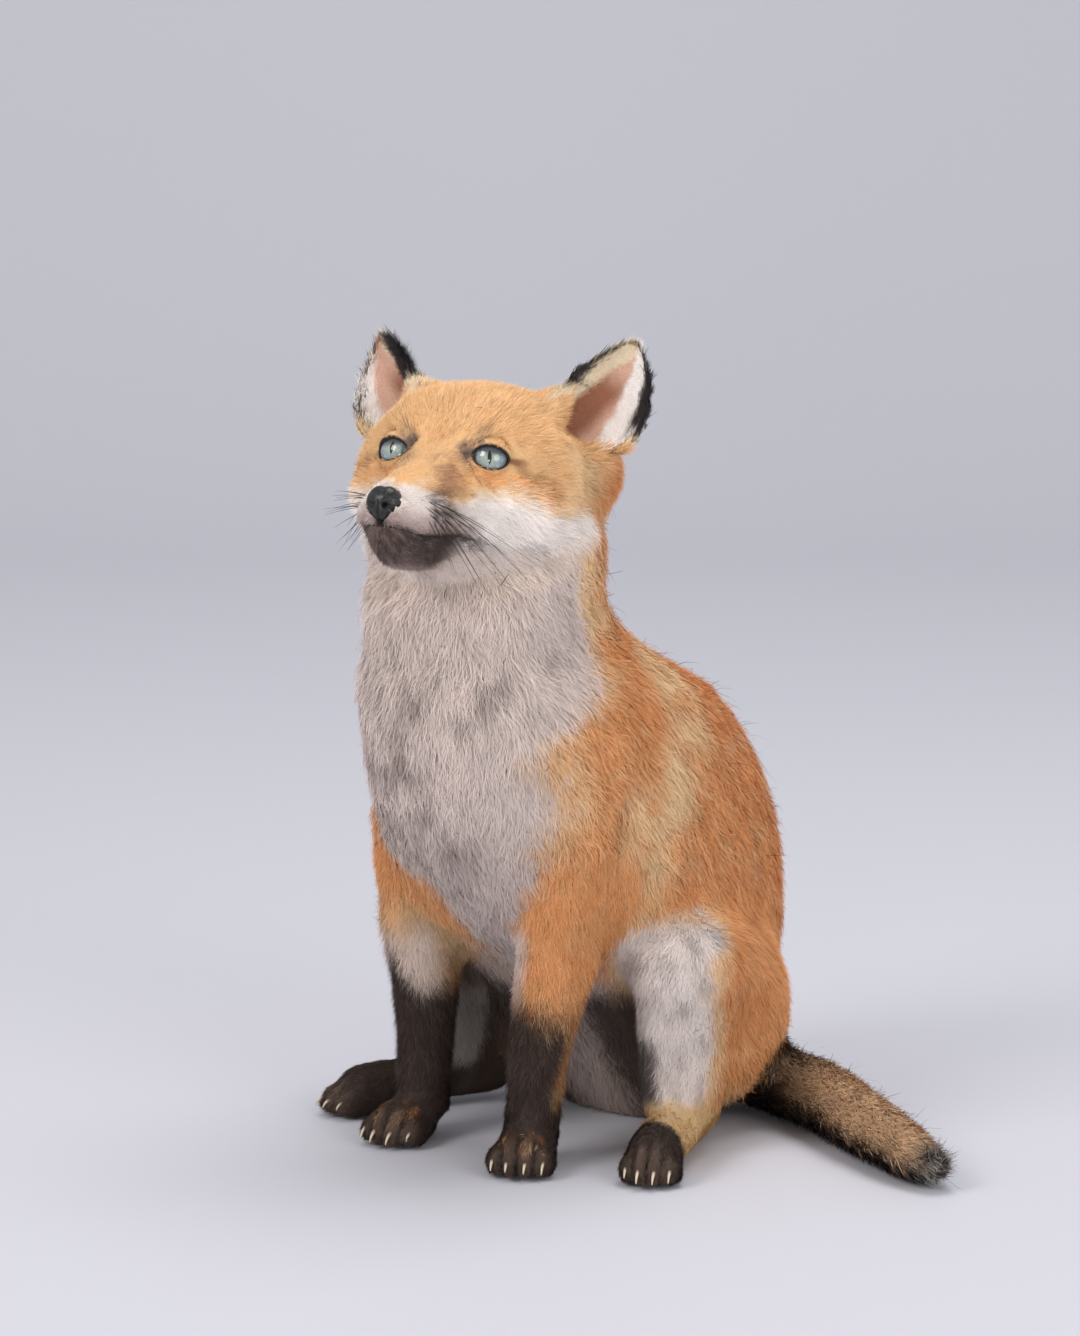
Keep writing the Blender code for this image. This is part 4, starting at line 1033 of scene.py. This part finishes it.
def makeSkin():
    # the body, the ring of lid round each eye and the edge of the lips; bare is 1 where no hair grows
    points, faces = bodySkin()
    solid = BVHTree.FromPolygons(points.tolist(), faces.tolist())
    parts, bare = [(points, faces)], [np.zeros(len(points))]
    for side in flips:
        ring, ringQuads, rim = lidRing(side, solid)
        parts.append((ring, ringQuads))
        bare.append(rim)
    parts.append(lipLine(solid))
    bare.append(np.ones(len(parts[-1][0])))
    for side in flips:  # the skin round each eye drops behind the lids' edge
        across, high, far = inLids(points, side)
        sunk = edge(lidGap(across, high, 15.0), 1.05, 0.96) * edge(far, 0.0170, 0.0150)
        bare[0] = np.maximum(bare[0], sunk)
        wanted = np.minimum(far, eyeRadius - 0.0012)
        middle = eyeMiddle(side)
        points = middle + (points - middle) * (1 + sunk * (wanted / far - 1))[:, None]
    parts[0] = (points, faces)
    return makePiece("skin", *joined(parts), skinMaterial), np.concatenate(bare)


skin, bare = makeSkin()
print("skin", len(skin.data.vertices), "points")


# the unwrap of the skin, and its fields: lie, coat numbers and markings with their painted shade
def unwrap(piece):
    # the unwrap's place of each corner
    bpy.context.view_layer.objects.active = piece
    piece.select_set(True)
    bpy.ops.object.mode_set(mode="EDIT")
    bpy.ops.mesh.select_all(action="SELECT")
    bpy.ops.uv.smart_project(angle_limit=math.radians(62), island_margin=0.002)
    bpy.ops.object.mode_set(mode="OBJECT")
    piece.data.uv_layers[0].name = "OFBake"
    places = np.empty(len(piece.data.loops) * 2, np.float32)
    piece.data.uv_layers[0].uv.foreach_get("vector", places)
    return places.reshape(-1, 2)


def skinFields():
    # at each point of the skin: the lie and numbers of the coat and how much of it grows; stores the marking
    # colour with its painted shade
    points, normals, corners = readMesh(skin.data)
    edges = edgesOf(corners.reshape(-1, 4))
    out = unit(softened(normals, edges, 3))
    zone = zones(points, out)
    coat = coatAt(points, out, zone)
    lie = unit(softened(lieAt(points, out, zone), edges, 14))
    lie = unit(lie - dots(lie, out)[:, None] * out)
    addColour(skin, "markingAndShade", blend(bare, markingsAndShade(points, out, zone), palette["lidSkin"]))
    hair = softened(np.stack([coat[k] for k in planColumns[1:]], axis=1), edges, 6)
    growing = 1 - np.clip(bare * 1.6, 0, 1)
    for side in flips:
        across, high, far = inLids(points, side)
        near = far < 0.020
        growing *= 1 - near * (lidGap(across, high, 2.4) < 1.0)
        ringed = near * edge(lidGap(across, high, 0.0), 1.9, 1.15)
        hair[:, 0] = blend(ringed, hair[:, 0], 0.0022)
        hair[:, 3] = blend(ringed, hair[:, 3], 140)
    nose = np.linalg.norm((zone["h"] - noseSpot) / (noseSize * 1.02), axis=1)
    sole = 0.9 * edge(out[:, 2], -0.80, -0.95) * edge(points[:, 2], 0.004, 0.002)
    growing *= edge(nose, 0.98, 1.05) * (1 - sole)
    loops = np.arange(len(corners)).reshape(-1, 4)
    halves = np.concatenate([loops[:, [0, 1, 2]], loops[:, [0, 2, 3]]])
    order = np.argsort(halves[:, 0], kind="stable")
    return {"points": points, "out": out, "lie": lie, "hair": hair, "growing": growing,
            "loops": halves[order], "corners": corners, "places": unwrap(skin)}


field = skinFields()
print("fields")


def scatterRoots(field, crowd):
    # evenly spread random places on the skin, crowd to the square metre:
    # (the vertices of each one's triangle, its weight on each, its place on the unwrap)
    tri = field["corners"][field["loops"]]
    a, b, c = (field["points"][tri[:, i]] for i in range(3))
    area = np.linalg.norm(np.cross(b - a, c - a), axis=1) / 2
    wanted = np.cumsum(area * (crowd * field["growing"])[tri].mean(axis=1))
    count = int(wanted[-1])
    chosen = np.searchsorted(wanted, np.arange(count) + chance.random(count) * 0.999)
    chosen = np.minimum(chosen, len(tri) - 1)
    u, v = chance.random(count), chance.random(count)
    flip = u + v > 1
    u, v = np.where(flip, 1 - u, u), np.where(flip, 1 - v, v)
    weights = np.stack([1 - u - v, u, v], axis=1)
    places = (field["places"][field["loops"][chosen]] * weights[..., None]).sum(axis=1)
    return tri[chosen], weights, places


def atRoots(values, corners, weights):
    # the skin's values at the roots
    return (values[corners] * weights[..., None]).sum(axis=1)


lockLook = {
    "strands": 6,
    "rooted": 0.0004,  # how deep in the skin a hair starts
    "lowest": 0.0004,  # no hair reaches below this height
    "mingled": 0.10,  # of the hair's length, how far the markings' edges are broken up
    "spread": 0.15,  # of the hair's length, how far a lock's roots lie apart
    "gather": 0.30,  # how much the tips close up again
    "wander": 13.0,  # degrees, a lock's own turn away from the lie
    "fan": 11.0,  # degrees, a hair's turn within its lock
    "stray": (0.09, 1.9),  # share of the hairs that stand out, and how many times as steep they are
    "roll": 0.45,  # radians, how far a ribbon leans about its own length
    "curve": 0.55,  # how much a hair bends back to the skin towards its tip
    "sway": 0.05,  # of its length, how far a tip bends aside
    "soft": 0.65,  # how far a hair is shaded by the skin's slope rather than by its own
    "patch": 0.003,  # size of one lock on the unwrap
}


def growLocks(name, roots, segments, strands):
    # each hair, a ribbon that ends in a point: root + spread + length (s cos(lift) way + (s - curve s^2)
    # sin(lift) out + sway s^2 across), with s from 0 at the root to 1 at the tip
    count = len(roots["p"])
    shape = (count, strands)
    out, lie, side = roots["out"], roots["lie"], np.cross(roots["lie"], roots["out"])
    turn = np.radians(lockLook["wander"] * chance.normal(size=(count, 1))
                      + lockLook["fan"] * chance.normal(size=shape))
    way = np.cos(turn)[..., None] * lie[:, None] + np.sin(turn)[..., None] * side[:, None]
    across = np.cross(way, np.broadcast_to(out[:, None], way.shape))
    stray = np.where(chance.random(shape) < lockLook["stray"][0], lockLook["stray"][1], 1.0)
    lift = np.exp(0.30 * chance.normal(size=(count, 1)) + 0.22 * chance.normal(size=shape))
    lift = np.radians(stray * roots["lift"][:, None] * lift)
    length = roots["length"][:, None] * (0.85 + 0.30 * chance.random((count, 1)))
    length = length * (0.62 + 0.52 * chance.random(shape))
    sway = lockLook["sway"] * (chance.normal(size=(count, 1)) + 0.5 * chance.normal(size=shape))
    around, ring = chance.uniform(0, 2 * math.pi, shape), np.sqrt(chance.random(shape))
    spread = roots["spread"][:, None] * ring
    offset = (np.cos(around) * spread)[..., None] * lie[:, None]
    offset = offset + (np.sin(around) * spread)[..., None] * side[:, None]
    roll = lockLook["roll"] * chance.normal(size=shape)
    flat = np.cos(roll)[..., None] * across + np.sin(roll)[..., None] * out[:, None]
    width = roots["width"][:, None] * (0.8 + 0.4 * chance.random(shape))
    steps = np.linspace(0, 1, segments + 1) ** 0.9
    s = steps[None, None, :, None]
    line = roots["p"][:, None, None] - lockLook["rooted"] * out[:, None, None]
    line = line + offset[:, :, None] * (1 - lockLook["gather"] * s)
    line = line + (length * np.cos(lift))[:, :, None, None] * s * way[:, :, None]
    rise = s - lockLook["curve"] * s * s
    line = line + (length * np.sin(lift))[:, :, None, None] * rise * out[:, None, None]
    line = line + (length * sway)[:, :, None, None] * s * s * across[:, :, None]
    taper = (width[:, :, None] * (1 - 0.75 * steps[:-1] ** 1.6))[..., None] * flat[:, :, None]
    pairs = np.stack([line[:, :, :-1] - taper, line[:, :, :-1] + taper], axis=3)
    points = np.concatenate([pairs.reshape(count, strands, -1, 3), line[:, :, -1:]], axis=2)
    points[..., 2] = np.maximum(points[..., 2], lockLook["lowest"])
    each = 2 * segments + 1
    one = [(2 * i, 2 * i + 1, 2 * i + 2) for i in range(segments)]
    one += [(2 * i + 1, 2 * i + 3, 2 * i + 2) for i in range(segments - 1)]
    faces = (np.array(one)[None] + np.arange(count * strands)[:, None, None] * each).reshape(-1, 3)
    own = np.cross(flat, way)[:, :, None] * (1 - lockLook["soft"])
    own = unit(out[:, None, None] * lockLook["soft"] + own)
    shading = np.broadcast_to(own, (count, strands, each, 3)).reshape(-1, 3)
    piece = makePiece(name, points.reshape(-1, 3), faces, lockMaterial, normals=shading)
    addColour(piece, "markingAndShade", np.repeat(roots["colour"], strands * each, axis=0))
    along = np.append(np.repeat(steps[:-1], 2), 1.0)
    addNumber(piece, "along", np.tile(along, count * strands))
    lock = chance.random((count, 1)) * 0.38 + chance.random(shape) * 0.62
    addNumber(piece, "lock", np.repeat(lock.ravel(), each))
    u = (np.arange(strands)[:, None] + 0.5 + 0.3 * np.append(np.tile([-1, 1], segments), 0)) / strands - 0.5
    v = np.broadcast_to(along - 0.5, (strands, each))
    uv = roots["place"][:, None, None] + lockLook["patch"] * np.stack([u, v], axis=-1)[None]
    uv = np.clip(uv.reshape(-1, 2), 0, 1)
    layer = piece.data.uv_layers.new(name="OFBake")
    layer.uv.foreach_set("vector", uv[faces.ravel()].astype(np.float32).ravel())
    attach(piece, "root")
    return len(faces)


mostTriangles = 190000  # in one piece, which the export then keeps whole
coatPieces = {  # segments of a hair, slot; a place goes to the first piece whose test it meets
    "coatEars": (1, "coat"),
    "coatHead": (1, "coat"),
    "coatNeck": (2, "coat_pale"),
    "coatTail": (2, "coat_tail"),
    "coatPaws": (1, "coat_dark"),
    "coatLegs": (1, "coat"),
    "coatTrunk": (2, "coat"),
}


def makeCoat():
    # locks all over the skin, with stray hairs of other colours among them, cut into pieces by zone
    hair = field["hair"]
    corners, weights, places = scatterRoots(field, hair[:, 3] * 1e4 * density)
    p, out = atRoots(field["points"], corners, weights), unit(atRoots(field["out"], corners, weights))
    lie = unit(atRoots(field["lie"], corners, weights))
    numbers = atRoots(hair, corners, weights)
    jitter = numbers[:, :1] * lockLook["mingled"] * chance.normal(size=(len(p), 3))
    zone = zones(p + jitter, out)
    colour = markingsAndShade(p + jitter, out, zone)
    pick, how = chance.random(len(p)), chance.random(len(p))
    orange = (1 - np.clip(zone["ear"], 0, 1)) * edge(colour[:, 0] / colour[:, 2], 2.2, 3.2)
    colour = blend(0.55 * how * orange * (pick < 0.30), colour, palette["straw"])
    colour = blend(0.60 * how * orange * (pick > 0.88), colour, palette["crease"])
    black = edge(colour[:, 0], 0.06, 0.035) * (1 - 0.85 * zone["head"])
    colour = blend(0.8 * how * black * (pick < 0.34), colour, palette["ticks"])
    end = zone["tail"] * edge(zone["tailShare"], 0.78, 0.84)
    colour = blend(0.85 * how * end * (pick < 0.55), colour, palette["paleTip"])
    width = numbers[:, 2] * (1 if density == 1 else 1.7)
    roots = {"p": p, "out": out, "lie": lie, "length": numbers[:, 0], "lift": numbers[:, 1], "width": width,
             "colour": colour, "place": places, "spread": 0.0008 + lockLook["spread"] * numbers[:, 0]}
    legs = np.max([zone[k] for k in ("foreleg", "forepaw", "thigh", "shin", "foot")], axis=0)
    test = {
        "coatEars": zone["ear"] > 0.5,
        "coatHead": zone["head"] > 0.5,
        "coatNeck": zone["neck"] > 0.5,
        "coatTail": zone["tail"] > 0.5,
        "coatPaws": (np.maximum(zone["forepaw"], zone["foot"]) > 0.5) & (p[:, 2] < 0.028),
        "coatLegs": legs > 0.5,
        "coatTrunk": np.ones(len(p), bool),
    }
    free, total = np.ones(len(p), bool), 0
    for name, (segments, slot) in coatPieces.items():
        mine = np.flatnonzero(free & test[name])
        free[mine] = False
        most = mostTriangles // (lockLook["strands"] * (2 * segments - 1))
        chunks = np.array_split(mine, max(1, -(-len(mine) // most)))
        for i, chunk in enumerate(chunks):
            label = name if len(chunks) == 1 else f"{name}{i + 1}"
            chosen = {key: value[chunk] for key, value in roots.items()}
            made = growLocks(label, chosen, segments, lockLook["strands"])
            total += made
            print(label, made, "triangles")
    print("coat", total, "triangles in all")


makeCoat()

guardLook = {"length": 0.026, "lift": 30, "width": 0.00009, "crowd": 2.4}


def makeGuardHairs():
    # sparse dark hairs that stand out of the back, the nape and the tail
    points, out = field["points"], field["out"]
    zone = zones(points, out)
    tail = zone["tail"] * edge(out[:, 2], -0.3, 0.4)
    back = edge(out[:, 1], 0.1, 0.6) * edge(points[:, 2], 0.10, 0.14) * (1 - zone["head"])
    corners, weights, places = scatterRoots(field, np.maximum(2.2 * tail, back) * guardLook["crowd"] * 1e4)
    count = len(corners)
    mine = {"p": atRoots(points, corners, weights), "out": unit(atRoots(out, corners, weights)),
            "lie": unit(atRoots(field["lie"], corners, weights)), "place": places,
            "length": guardLook["length"] * chance.uniform(0.6, 1.1, count),
            "lift": guardLook["lift"] * chance.uniform(0.7, 1.5, count),
            "width": np.full(count, guardLook["width"]), "spread": np.full(count, 0.0002),
            "colour": np.tile(palette["tailDark"], (count, 1))}
    print("guardHairs", growLocks("guardHairs", mine, 3, 1), "triangles")


makeGuardHairs()


# eyes
eyeLook = {
    "gaze": {"left": (25.0, 7.0), "right": (1.0, 17.0)},  # degrees outwards and up
    "irisRadius": 0.0070,
    "pupilHalf": (0.00085, 0.0031),
    "iris": rgb(172, 186, 184),
    "irisInner": rgb(166, 176, 152),
    "irisDark": rgb(84, 100, 104),
    "rim": rgb(22, 22, 24),
}


def irisMaterial():
    # radial fibres on a grey-green ground, darker to the rim, with an upright slit for the pupil
    g = Graph("iris", Roughness=0.22, Coat_Weight=1.0, Coat_Roughness=0.015, Specular_IOR_Level=0.4)
    place = g.attribute("irisPlace", "Vector")
    parts = g.node("ShaderNodeSeparateXYZ", None, {0: place})
    x, y = parts, Wire(g, parts.socket.node.outputs[1])
    radius = (x * x + y * y) ** 0.5
    angle = g.node("ShaderNodeMath", {"operation": "ARCTAN2"}, {0: y, 1: x})
    spread = g.node("ShaderNodeCombineXYZ", None, {0: angle * 5.0, 1: radius * 1.1, 2: 0.0})
    fibres = g.noise(3.2, 4.0, spread)
    colour = g.mix(g.rise(fibres, 0.32, 0.72), eyeLook["irisDark"] * 1.6, eyeLook["iris"])
    colour = g.mix(g.rise(radius, 0.62, 0.25) * 0.6, colour, eyeLook["irisInner"])
    colour = g.mix(g.rise(radius, 0.70, 0.95), colour, eyeLook["irisDark"])
    colour = g.mix(g.rise(radius, 0.92, 1.0), colour, eyeLook["rim"])
    wide, high = (v / eyeLook["irisRadius"] for v in eyeLook["pupilHalf"])
    slit = x.do("ABSOLUTE") * (1 / wide) + (y * (1 / high)) ** 2.0
    colour = g.mix(g.rise(slit, 1.12, 0.92), colour, (0.004, 0.004, 0.005))
    return g.finish(Base_Color=g.scaled(colour, 1 - 0.82 * g.attribute("lidShade", "Fac")))


def makeEye(side, material):
    # a ball of rings round its line of sight; irisPlace: each point seen along it, 1 at the rim of the iris
    outward, up = eyeLook["gaze"][side]
    sight = eyeWay(np.array(outward), np.array(up), side)
    right = unit(np.cross(sight, [0, 0, 1]))
    above = np.cross(right, sight)
    ball, faces = ballRings(49, eyeSides, 0.004)
    x, y, z = ball.reshape(-1, 3).T
    points = eyeMiddle(side) + eyeRadius * (x[:, None] * right + y[:, None] * above + z[:, None] * sight)
    piece = makePiece(f"eyeball_{side}", points, faces, material)
    layer = piece.data.attributes.new("irisPlace", "FLOAT_VECTOR", "POINT")
    behind = np.where(z > 0, 1.0, 4.0)
    flat = np.stack([x * behind, y * behind, 0 * x], axis=-1) * (eyeRadius / eyeLook["irisRadius"])
    layer.data.foreach_set("vector", flat.astype(np.float32).ravel())
    across, high, far = inLids(points, side)  # the upper lid, the rim and the inner corner darken the ball
    lid, rim = edge(high / lids["halfHigh"], -0.05, 0.62), edge(lidGap(across, high, 0.0), 0.72, 1.0)
    corner = edge(across + lids["halfWide"], 20, 11)
    addNumber(piece, "lidShade", np.maximum(np.maximum(lid, 0.7 * rim), 0.9 * corner))
    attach(piece, "root")
    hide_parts(f"eye_{side}")


irisLook = irisMaterial()
for eyeSide in flips:
    makeEye(eyeSide, irisLook)


# nose pad
noseLook = {
    "nostril": 0.0026,  # depth
    "groove": 0.0006,
    "narrows": 0.45,  # how much of its width it loses below
    "black": rgb(8, 8, 9),
    "grain": rgb(27, 26, 27),
    "worn": rgb(24, 24, 26),
}


def makeNose():
    # a rounded pad, narrower below, with two nostrils that turn outwards and a groove down the middle
    ball, faces = ballRings(80, 120, 0.01)
    way = ball.reshape(-1, 3)[:, [0, 2, 1]] * (1, -1, 1)
    points = way * noseSize
    points[:, 0] *= 1 - noseLook["narrows"] * np.maximum(0, -way[:, 2])
    points[:, 2] -= 0.0008 * np.exp(-((points[:, 0] / 0.0022) ** 2)) * (way[:, 2] > 0) * way[:, 2]
    wide = np.abs(points[:, 0])
    hole = np.exp(-(((wide - 0.0034) / 0.00135) ** 2) - ((points[:, 2] + 0.0004) / 0.0013) ** 2)
    slope = points[:, 2] + 0.0018 + 0.25 * (wide - 0.0051)
    comma = np.exp(-(((wide - 0.0051) / 0.0011) ** 2) - (slope / 0.0006) ** 2)
    front = edge(way[:, 1], 0.10, -0.25)
    groove = np.exp(-((points[:, 0] / 0.00045) ** 2)) * edge(points[:, 2], 0.0025, -0.001) * (way[:, 1] < 0)
    dent = noseLook["nostril"] * (hole + 0.16 * comma) * front + noseLook["groove"] * groove
    points -= way * dent[:, None]
    g = Graph("noseLeather", Roughness=0.42, Specular_IOR_Level=0.5, Coat_Weight=0.4, Coat_Roughness=0.22)
    toEdge = {"feature": "DISTANCE_TO_EDGE"}
    cells = g.node("ShaderNodeTexVoronoi", toEdge, {"Vector": g.place, "Scale": 1200.0})
    grain = g.rise(cells, 0.0, 0.16)
    worn = g.noise(500.0, 3.0)
    colour = g.mix(grain * 0.8, noseLook["black"], noseLook["grain"])
    colour = g.mix(g.rise(worn, 0.35, 0.75) * 0.5, colour, noseLook["worn"])
    height = grain + 0.7 * worn
    material = g.finish(Base_Color=colour, Roughness=0.20 + 0.34 * worn, Normal=g.bump(height, 0.0010, 1.0))
    piece = makePiece("nose", fromHead(points + noseSpot), faces, material)
    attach(piece, "root")
    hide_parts("nose_pad")


makeNose()

# claws
clawLook = {
    "length": 0.0076,
    "radius": 0.00076,
    "lowest": 0.0002,
    "horn": rgb(206, 192, 168),
    "root": rgb(96, 76, 58),
    "streak": rgb(170, 140, 104),
}


def makeClaws():
    # sixteen tapering hooks, each forward and down from its toe
    s = np.linspace(0, 1, 12)
    forward = clawLook["length"] * np.sin(1.25 * s) / 1.25
    down = clawLook["length"] * (1 - np.cos(1.15 * s)) * 0.95
    lines, nodes = [], []
    for name in paws:
        for i, (spread, across) in enumerate(zip(toeShares, acrossPaw(toeShares, name))):
            toe = np.array([across, -0.036 * (0.31 - 0.13 * spread**2), 0.0062])
            share = 0.72 + 0.34 * chance.random()
            line = toe + [0, -0.0044, 0.0020] + share * np.stack([0 * s, -forward, -down], axis=1)
            lines.append(fromPaw(line, name))
            nodes.append(f"claw_{name}_{i + 1}")
    radii = np.tile(clawLook["radius"] * (1 - s) ** 0.7 + 0.00016, (len(lines), 1))
    points, faces = tubes(np.array(lines), radii, 10)
    points[:, 2] = np.maximum(points[:, 2], clawLook["lowest"])
    g = Graph("claw", Roughness=0.32, Specular_IOR_Level=0.5)
    streaks = g.noise(700.0, 3.0)
    share = g.attribute("along", "Fac")
    colour = g.mix(g.rise(share, 0.10, 0.55), clawLook["root"], clawLook["horn"])
    colour = g.mix(g.rise(streaks, 0.4, 0.8) * 0.35, colour, clawLook["streak"])
    material = g.finish(Base_Color=colour, Normal=g.bump(streaks, 0.0002, 0.4))
    piece = makePiece("claws", points, faces, material)
    addNumber(piece, "along", np.tile(np.repeat(s, 10), len(lines)))
    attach(piece, "root")
    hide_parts(*nodes)


makeClaws()

# whiskers and brow hairs
whiskers = {
    "muzzle": {"rows": 4, "each": 5, "radius": 0.00019,
               "left": ((0.62, 0.64, -0.42), (0.36, 0.42, -0.80), (0.026, 0.062)),
               "right": ((-0.93, 0.15, 0.22), (-0.60, 0.05, -0.75), (0.018, 0.034))},
    "brow": {"each": 4, "length": (0.016, 0.028), "way": (0.62, 0.20, 0.70), "radius": 0.00008},
    "dark": rgb(30, 24, 22),
    "brown": rgb(56, 44, 38),
}


def makeWhiskers():
    # curved tapering lines, rooted on the skin: start + length (s way + droop s^2 down)
    solid = BVHTree.FromPolygons(field["points"].tolist(), field["corners"].reshape(-1, 4).tolist())
    starts, ways, lengths, droops = [], [], [], []
    look = whiskers["muzzle"]
    for side in (1, -1):
        top, bottom, length = look["left"] if side == 1 else look["right"]
        for row in range(look["rows"]):
            for i in range(look["each"]):
                back, steep = i / (look["each"] - 1), row / (look["rows"] - 1)
                starts.append((side, -0.038 + 0.013 * back + 0.0006 * chance.normal(),
                               -0.0175 - 0.0028 * row - 0.002 * back))
                ways.append((1 - steep) * np.array(top) + steep * np.array(bottom)
                            + 0.10 * chance.normal(size=3))
                lengths.append(blend(back, *length) * chance.uniform(0.65, 1) * (1 - 0.35 * steep))
                droops.append(0.10 + 0.08 * chance.random())
    look = whiskers["brow"]
    for side in (1, -1):
        for i in range(look["each"]):
            starts.append((side, -0.004 + 0.0012 * i, 0.0125 + 0.0004 * i, 0.0150 + 0.0012 * i))
            ways.append(np.array(look["way"]) * (side, 1, 1) + 0.18 * chance.normal(size=3))
            lengths.append(chance.uniform(*look["length"]))
            droops.append(-0.05)
    roots = []
    for spot in starts:
        if len(spot) == 3:
            far, way = np.array([spot[0] * 0.05, spot[1], spot[2]]), np.array([-spot[0], 0.0, 0.0])
        else:
            far = np.array([spot[0] * spot[3], spot[1] - 0.03, spot[2] + 0.03])
            way = np.array([0, 1, -1.0]) / 2**0.5
        hit = solid.ray_cast(Vector(fromHead(far)), Vector(headAxes @ way))[0]
        roots.append(np.array(hit) if hit else fromHead(far + way * 0.035))
    s = np.linspace(0, 1, 12)[None, :, None]
    way = unit(np.array(ways)) @ headAxes.T
    length = np.array(lengths)[:, None, None]
    line = np.array(roots)[:, None] + length * (s * way[:, None]
                                                - np.array(droops)[:, None, None] * s * s * [0, 0, 1])
    muzzle = whiskers["muzzle"]["rows"] * whiskers["muzzle"]["each"] * 2
    radii = np.where(np.arange(len(lengths)) < muzzle, whiskers["muzzle"]["radius"], look["radius"])
    radii = radii[:, None] * (1 - 0.8 * s[0, :, 0])[None]
    points, faces = tubes(line, radii, 4)
    g = Graph("whisker", Roughness=0.4)
    material = g.finish(Base_Color=g.mix(g.noise(60.0), whiskers["dark"], whiskers["brown"]))
    piece = makePiece("whiskers", points, faces, material)
    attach(piece, "root")


makeWhiskers()
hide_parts(*fleshNames)
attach(skin, "root")


# floor, light and camera
def makeStage():
    # a pale floor that curves up into a backdrop
    x = np.linspace(-4, 4, 3)
    bend = np.linspace(0, math.pi / 2, 17)
    y = np.concatenate([[-6.0], 1.6 + 0.9 * np.sin(bend), [2.5]])
    z = np.concatenate([[0.0], 0.9 * (1 - np.cos(bend)), [5.0]])
    points = np.stack([np.tile(x, len(y)), np.repeat(y, 3), np.repeat(z, 3)], axis=1)
    turn = turnMatrix("z", 39.7)  # square to the camera
    g = Graph("floor", Roughness=0.6)
    material = g.finish(Base_Color=g.mix(g.noise(1.2), rgb(204, 204, 211), rgb(200, 200, 208)))
    floor = makePiece("floor", points @ turn.T, ringFaces(len(y), 3, closed=False), material)


lights = {  # place, target, size in metres, watts, colour
    "key": ((-0.5, -2.4, 1.9), (0.02, -0.06, 0.2), 1.2, 35, (1.0, 0.98, 0.95)),
    "fill": ((2.4, -0.7, 1.0), (0.02, -0.06, 0.2), 1.4, 21, (1.0, 0.98, 0.96)),
    "catch": ((1.17, -1.98, 0.36), (0.0, -0.14, 0.30), 0.30, 4, (1, 1, 1)),
    "top": ((0.1, 0.3, 2.2), (0.02, -0.06, 0.2), 1.2, 22, (1, 1, 1)),
}


def addLight(name, place, target, size, watts, colour):
    # a square lamp that faces its target
    data = bpy.data.lights.new(name, "AREA")
    data.shape, data.size, data.energy, data.color = "SQUARE", size, watts, colour
    lamp = bpy.data.objects.new(name, data)
    lamp.location = place
    lamp.rotation_euler = (Vector(target) - Vector(place)).to_track_quat("-Z", "Y").to_euler()
    bpy.context.scene.collection.objects.link(lamp)


makeStage()
for lightName, light in lights.items():
    addLight(lightName, *light)

world = bpy.data.worlds.new("studio")
bpy.context.scene.world = world
world.use_nodes = True
background = world.node_tree.nodes["Background"].inputs
background["Color"].default_value, background["Strength"].default_value = (0.96, 0.965, 1.0, 1), 0.55

cameraLook = {"place": (1.414, -1.805, 0.590), "target": (0.024, -0.099, 0.210), "lens": 144.3,
              "sensor": 36.0}
cameraData = bpy.data.cameras.new("camera")
cameraData.lens, cameraData.sensor_width = cameraLook["lens"], cameraLook["sensor"]
camera = bpy.data.objects.new("camera", cameraData)
camera.location = cameraLook["place"]
camera.rotation_euler = (Vector(cameraLook["target"]) - camera.location).to_track_quat("-Z", "Y").to_euler()
bpy.context.scene.collection.objects.link(camera)
bpy.context.scene.camera = camera
bpy.context.scene.view_settings.view_transform = "Standard"
